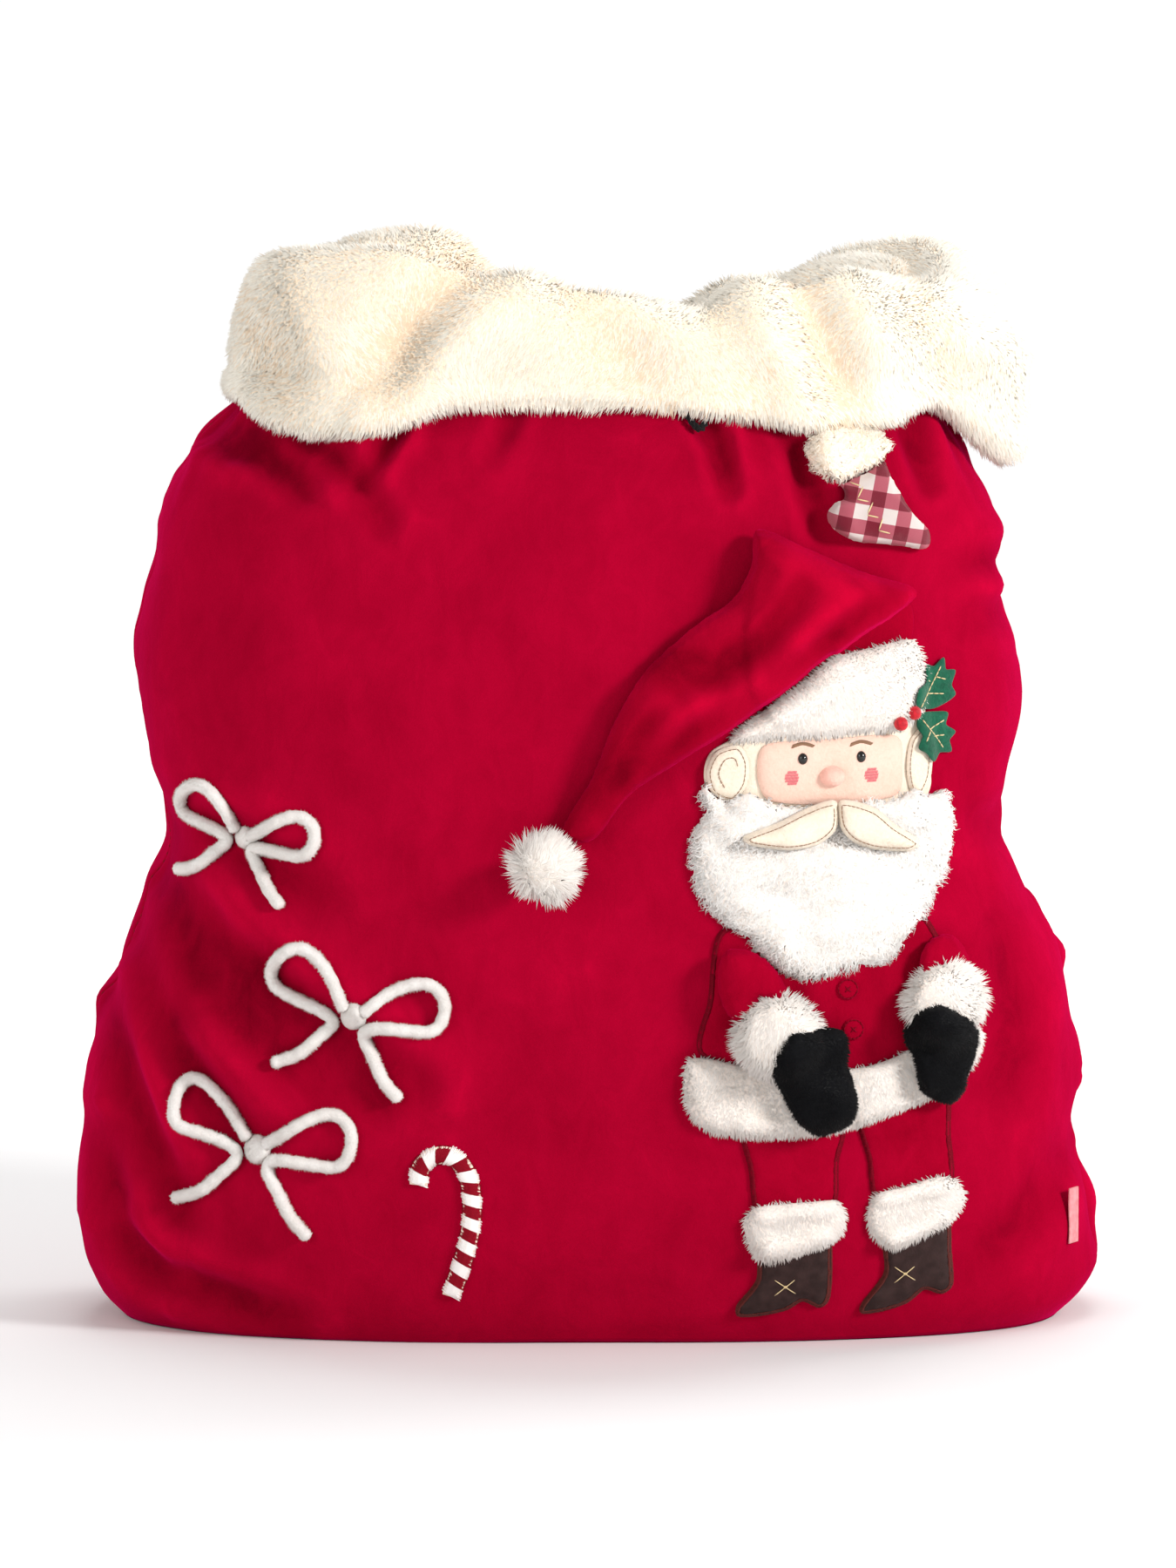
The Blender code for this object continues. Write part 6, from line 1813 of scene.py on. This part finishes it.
def inset(outline, amount):
    o = np.array(outline, float)
    along = np.roll(o, -1, 0) - np.roll(o, 1, 0)
    along /= np.maximum(np.linalg.norm(along, axis=1), 1e-9)[:, None]
    side = np.stack([-along[:, 1], along[:, 0]], axis=1)
    middle = o.mean(axis=0)
    if ((o + side - middle) ** 2).sum() > ((o - side - middle) ** 2).sum():
        side = -side
    found = o + side * amount
    keep = edge_distance(found[:, 0], found[:, 1], outline) > amount * 0.8
    found = found[keep]
    return [tuple(p) for p in np.concatenate([found, found[:1]])]


running(brown, inset(HEAD, 2.4), 2.6, 1.6, 0.18, field=TOPS["head_panel"])
back_stitch(brown, inset(MOUSTACHE_LEFT, 1.7), 0.24, field=TOPS["moustache_left"])
back_stitch(brown, inset(MOUSTACHE_RIGHT, 1.7), 0.24, field=TOPS["moustache_right"])
for name in ("ear_left", "ear_right"):
    outline = {"ear_left": [(66, 292), (63, 303), (68, 313), (79, 316), (84, 308), (83, 296), (76, 288)],
               "ear_right": [(168, 290), (166, 302), (168, 316), (175, 322), (179, 312), (178, 296), (174, 288)]}[name]
    back_stitch(brown, inset(smooth_outline(outline), 1.6), 0.20, field=TOPS[name])
back_stitch(brown, [(72, 295), (69, 302), (72, 309), (77, 310), (79, 305)], 0.24, field=TOPS["ear_left"])
# the face: brows and cheeks in satin stitch, on plain proportions
for sign in (-1, 1):
    bx = FACE_MIDDLE + sign * EYE_X
    satin(brown, curve([(bx - 5.5, 315.2 - (0 if sign < 0 else 0.0)), (bx, 316.6), (bx + 5.5, 315.2)], 0.6), 1.5, 0.5, 0.28, 0.3, slant=0.6, seed=7)
    for k in range(5):
        rise = 1.45 * (k - 2)
        half = math.sqrt(max(0.4, 3.7 ** 2 - rise ** 2))
        satin(pink, [(bx + sign * 5.5 - half, 299.4 + rise), (bx + sign * 5.5 + half, 299.4 + rise)], 1.5, 0.6, 0.26, 0.2, seed=8 + k)
for line, field in ((((173, 333), (178, 342), (184, 353)), TOPS["holly_leaf_upper"]), (((178, 345), (174, 347)), TOPS["holly_leaf_upper"]),
                    (((181, 347), (187, 345)), TOPS["holly_leaf_upper"]), (((177, 339), (186, 338)), TOPS["holly_leaf_upper"]),
                    (((174, 326), (180, 318), (185, 310)), TOPS["holly_leaf_lower"]), (((178, 321), (186, 325)), TOPS["holly_leaf_lower"]),
                    (((180, 317), (187, 317)), TOPS["holly_leaf_lower"]), (((178, 320), (175, 313)), TOPS["holly_leaf_lower"])):
    back_stitch(gold, line, 0.34, field=field, stitch=2.6)
boots = Bundle()
satin(boots, BOOT_LEFT, 2.4, 0.72, 0.38, 0.45, closed=True, seed=12, field=TOPS["boot_left"])
satin(boots, BOOT_RIGHT, 2.4, 0.72, 0.38, 0.45, closed=True, seed=13, field=TOPS["boot_right"])
for cx, cz in ((104, 33), (166, 38)):
    for dx, dz in ((5.6, 4.6), (5.6, -4.0)):
        back_stitch(gold, [(cx - dx, cz - dz), (cx + dx, cz + dz)], 0.26, stitch=6.6)
    satin(gold, [(cx - 0.9, cz), (cx + 0.9, cz)], 1.5, 0.45, 0.26, 0.3, seed=15)
zig = Bundle()
field = TOPS["stocking_cloth"]
points = [(136, 448), (143, 446), (140, 440), (148, 438), (145, 432), (153, 430), (151, 424), (158, 422)]
for a, b in zip(points, points[1:]):
    back_stitch(zig, [a, b], 0.38, field=field, stitch=6.0)
red.make("satin_outlines", [M_THREAD_RED])
brown.make("outline_stitches", [M_THREAD_BROWN])
gold.make("gold_stitches", [M_THREAD_GOLD])
pink.make("cheek_stitches", [M_THREAD_PINK])
boots.make("boot_satin", [M_THREAD_BOOT])
zig.make("stocking_stitches", [M_THREAD_GOLD], "stocking")

# side seams of the sack: short stitches up both sides, in the seam's valley
seams = Bundle()
for edges, sign in (((front_grid[:, -1], back_grid[:, 0]), 1), ((front_grid[:, 0], back_grid[:, -1]), -1)):
    line = (edges[0] + edges[1]) / 2
    for k in range(118):
        z0 = 6 + k * 4.1
        if z0 > 484:
            break
        z = np.linspace(z0, z0 + 2.6, 5)
        lift = np.array([-1.4, 0.1, 0.45, 0.1, -1.4])
        x = np.interp(z, line[:, 2], line[:, 0]) + sign * lift
        seams.put(*tube_mesh(np.stack([x, np.interp(z, line[:, 2], line[:, 1]), z], axis=1), 0.45, 5))
seams.make("seam_stitches", [M_THREAD_SEAM])

# ------------------------------------------------------------------ run lengths of the front and back walls, and the base's ring of points
FRONT_RUN, BACK_RUN = even_angles(-math.pi, 0, 8)[1] * MM, even_angles(0, math.pi, 8)[1] * MM


_x, _y = ring_point(np.linspace(-math.pi, math.pi, 721)[:-1], np.zeros(720), 3.4)

# ------------------------------------------------------------------ floor, light and camera
def paper():
    """A plain pale floor, level in all directions and evenly lit where it runs out of sight."""
    rings = [0.0, 0.4, 0.8, 1.2, 1.7, 2.4, 3.4, 5.0, 9.0, 18.0, 40.0]
    around = 48
    verts = [(0, 0, 0)]
    for r in rings[1:]:
        verts += [(r * math.cos(2 * math.pi * k / around), r * math.sin(2 * math.pi * k / around), 0) for k in range(around)]
    faces = [(0, 1 + k, 1 + (k + 1) % around) for k in range(around)]
    for i in range(len(rings) - 2):
        for k in range(around):
            m = (k + 1) % around
            faces.append((1 + i * around + k, 1 + (i + 1) * around + k, 1 + (i + 1) * around + m, 1 + i * around + m))
    mesh = bpy.data.meshes.new("studio_floor")
    mesh.from_pydata(verts, [], faces)
    mat = new_mat("studio_paper", (0.84, 0.84, 0.84), 0.9, specular=0.1)
    n = Nodes(mat)
    far = n.tree.nodes.new("ShaderNodeVectorMath")
    far.operation = "LENGTH"
    n.tree.links.new(n.coord, far.inputs[0])
    n.to("Emission Strength", n.ramp(n.maths("MULTIPLY", far.outputs["Value"], 0.2), ((0.11, 0.0), (0.30, 0.36), (1.0, 0.64))))
    mat.node_tree.nodes["Principled BSDF"].inputs["Emission Color"].default_value = (1, 1, 1, 1)
    mesh.materials.append(mat)
    obj = bpy.data.objects.new("studio_floor", mesh)
    bpy.context.scene.collection.objects.link(obj)


paper()
world = bpy.data.worlds.new("studio")
bpy.context.scene.world = world
world.use_nodes = True
_w = world.node_tree
_seen = _w.nodes["Background"]
_seen.inputs["Color"].default_value = (1.0, 1.0, 1.0, 1)
_seen.inputs["Strength"].default_value = 0.46
_white = _w.nodes.new("ShaderNodeBackground")
_white.inputs["Strength"].default_value = 1.0
_path = _w.nodes.new("ShaderNodeLightPath")
_pick = _w.nodes.new("ShaderNodeMixShader")
_w.links.new(_path.outputs["Is Camera Ray"], _pick.inputs[0])
_w.links.new(_seen.outputs[0], _pick.inputs[1])
_w.links.new(_white.outputs[0], _pick.inputs[2])
_w.links.new(_pick.outputs[0], _w.nodes["World Output"].inputs["Surface"])


def area(name, place, target, size, power, colour=(1, 1, 1)):
    light = bpy.data.lights.new(name, "AREA")
    light.shape = "RECTANGLE"
    light.size, light.size_y = size
    light.energy = power
    light.color = colour
    obj = bpy.data.objects.new(name, light)
    bpy.context.scene.collection.objects.link(obj)
    obj.location = place
    obj.rotation_euler = (Vector(target) - Vector(place)).to_track_quat("-Z", "Y").to_euler()


area("key", (2.5, -1.7, 1.45), (0, 0, 0.3), (0.62, 0.62), 90)
area("fill", (-2.0, -2.2, 1.2), (0, 0, 0.3), (1.4, 1.4), 31)
area("top", (0.1, 0.75, 2.4), (0, 0, 0.2), (1.6, 1.2), 24)
area("rim_left", (-1.8, 1.1, 1.0), (0, 0, 0.3), (0.8, 1.6), 8)
area("rim_right", (1.8, 1.1, 1.0), (0, 0, 0.3), (0.8, 1.6), 15.5)

target = Vector((0.00225, -0.07, 0.2875))
tilt = math.radians(8)
camera = bpy.data.cameras.new("camera")
camera.lens = 266.7
camera.sensor_width = 36
camera.clip_end = 50
camera.dof.use_dof = False
camera_object = bpy.data.objects.new("camera", camera)
bpy.context.scene.collection.objects.link(camera_object)
camera_object.location = target + Vector((0, -math.cos(tilt), math.sin(tilt))) * 6.0
camera_object.rotation_euler = (target - camera_object.location).to_track_quat("-Z", "Y").to_euler()
bpy.context.scene.camera = camera_object
bpy.context.scene.view_settings.view_transform = "Standard"
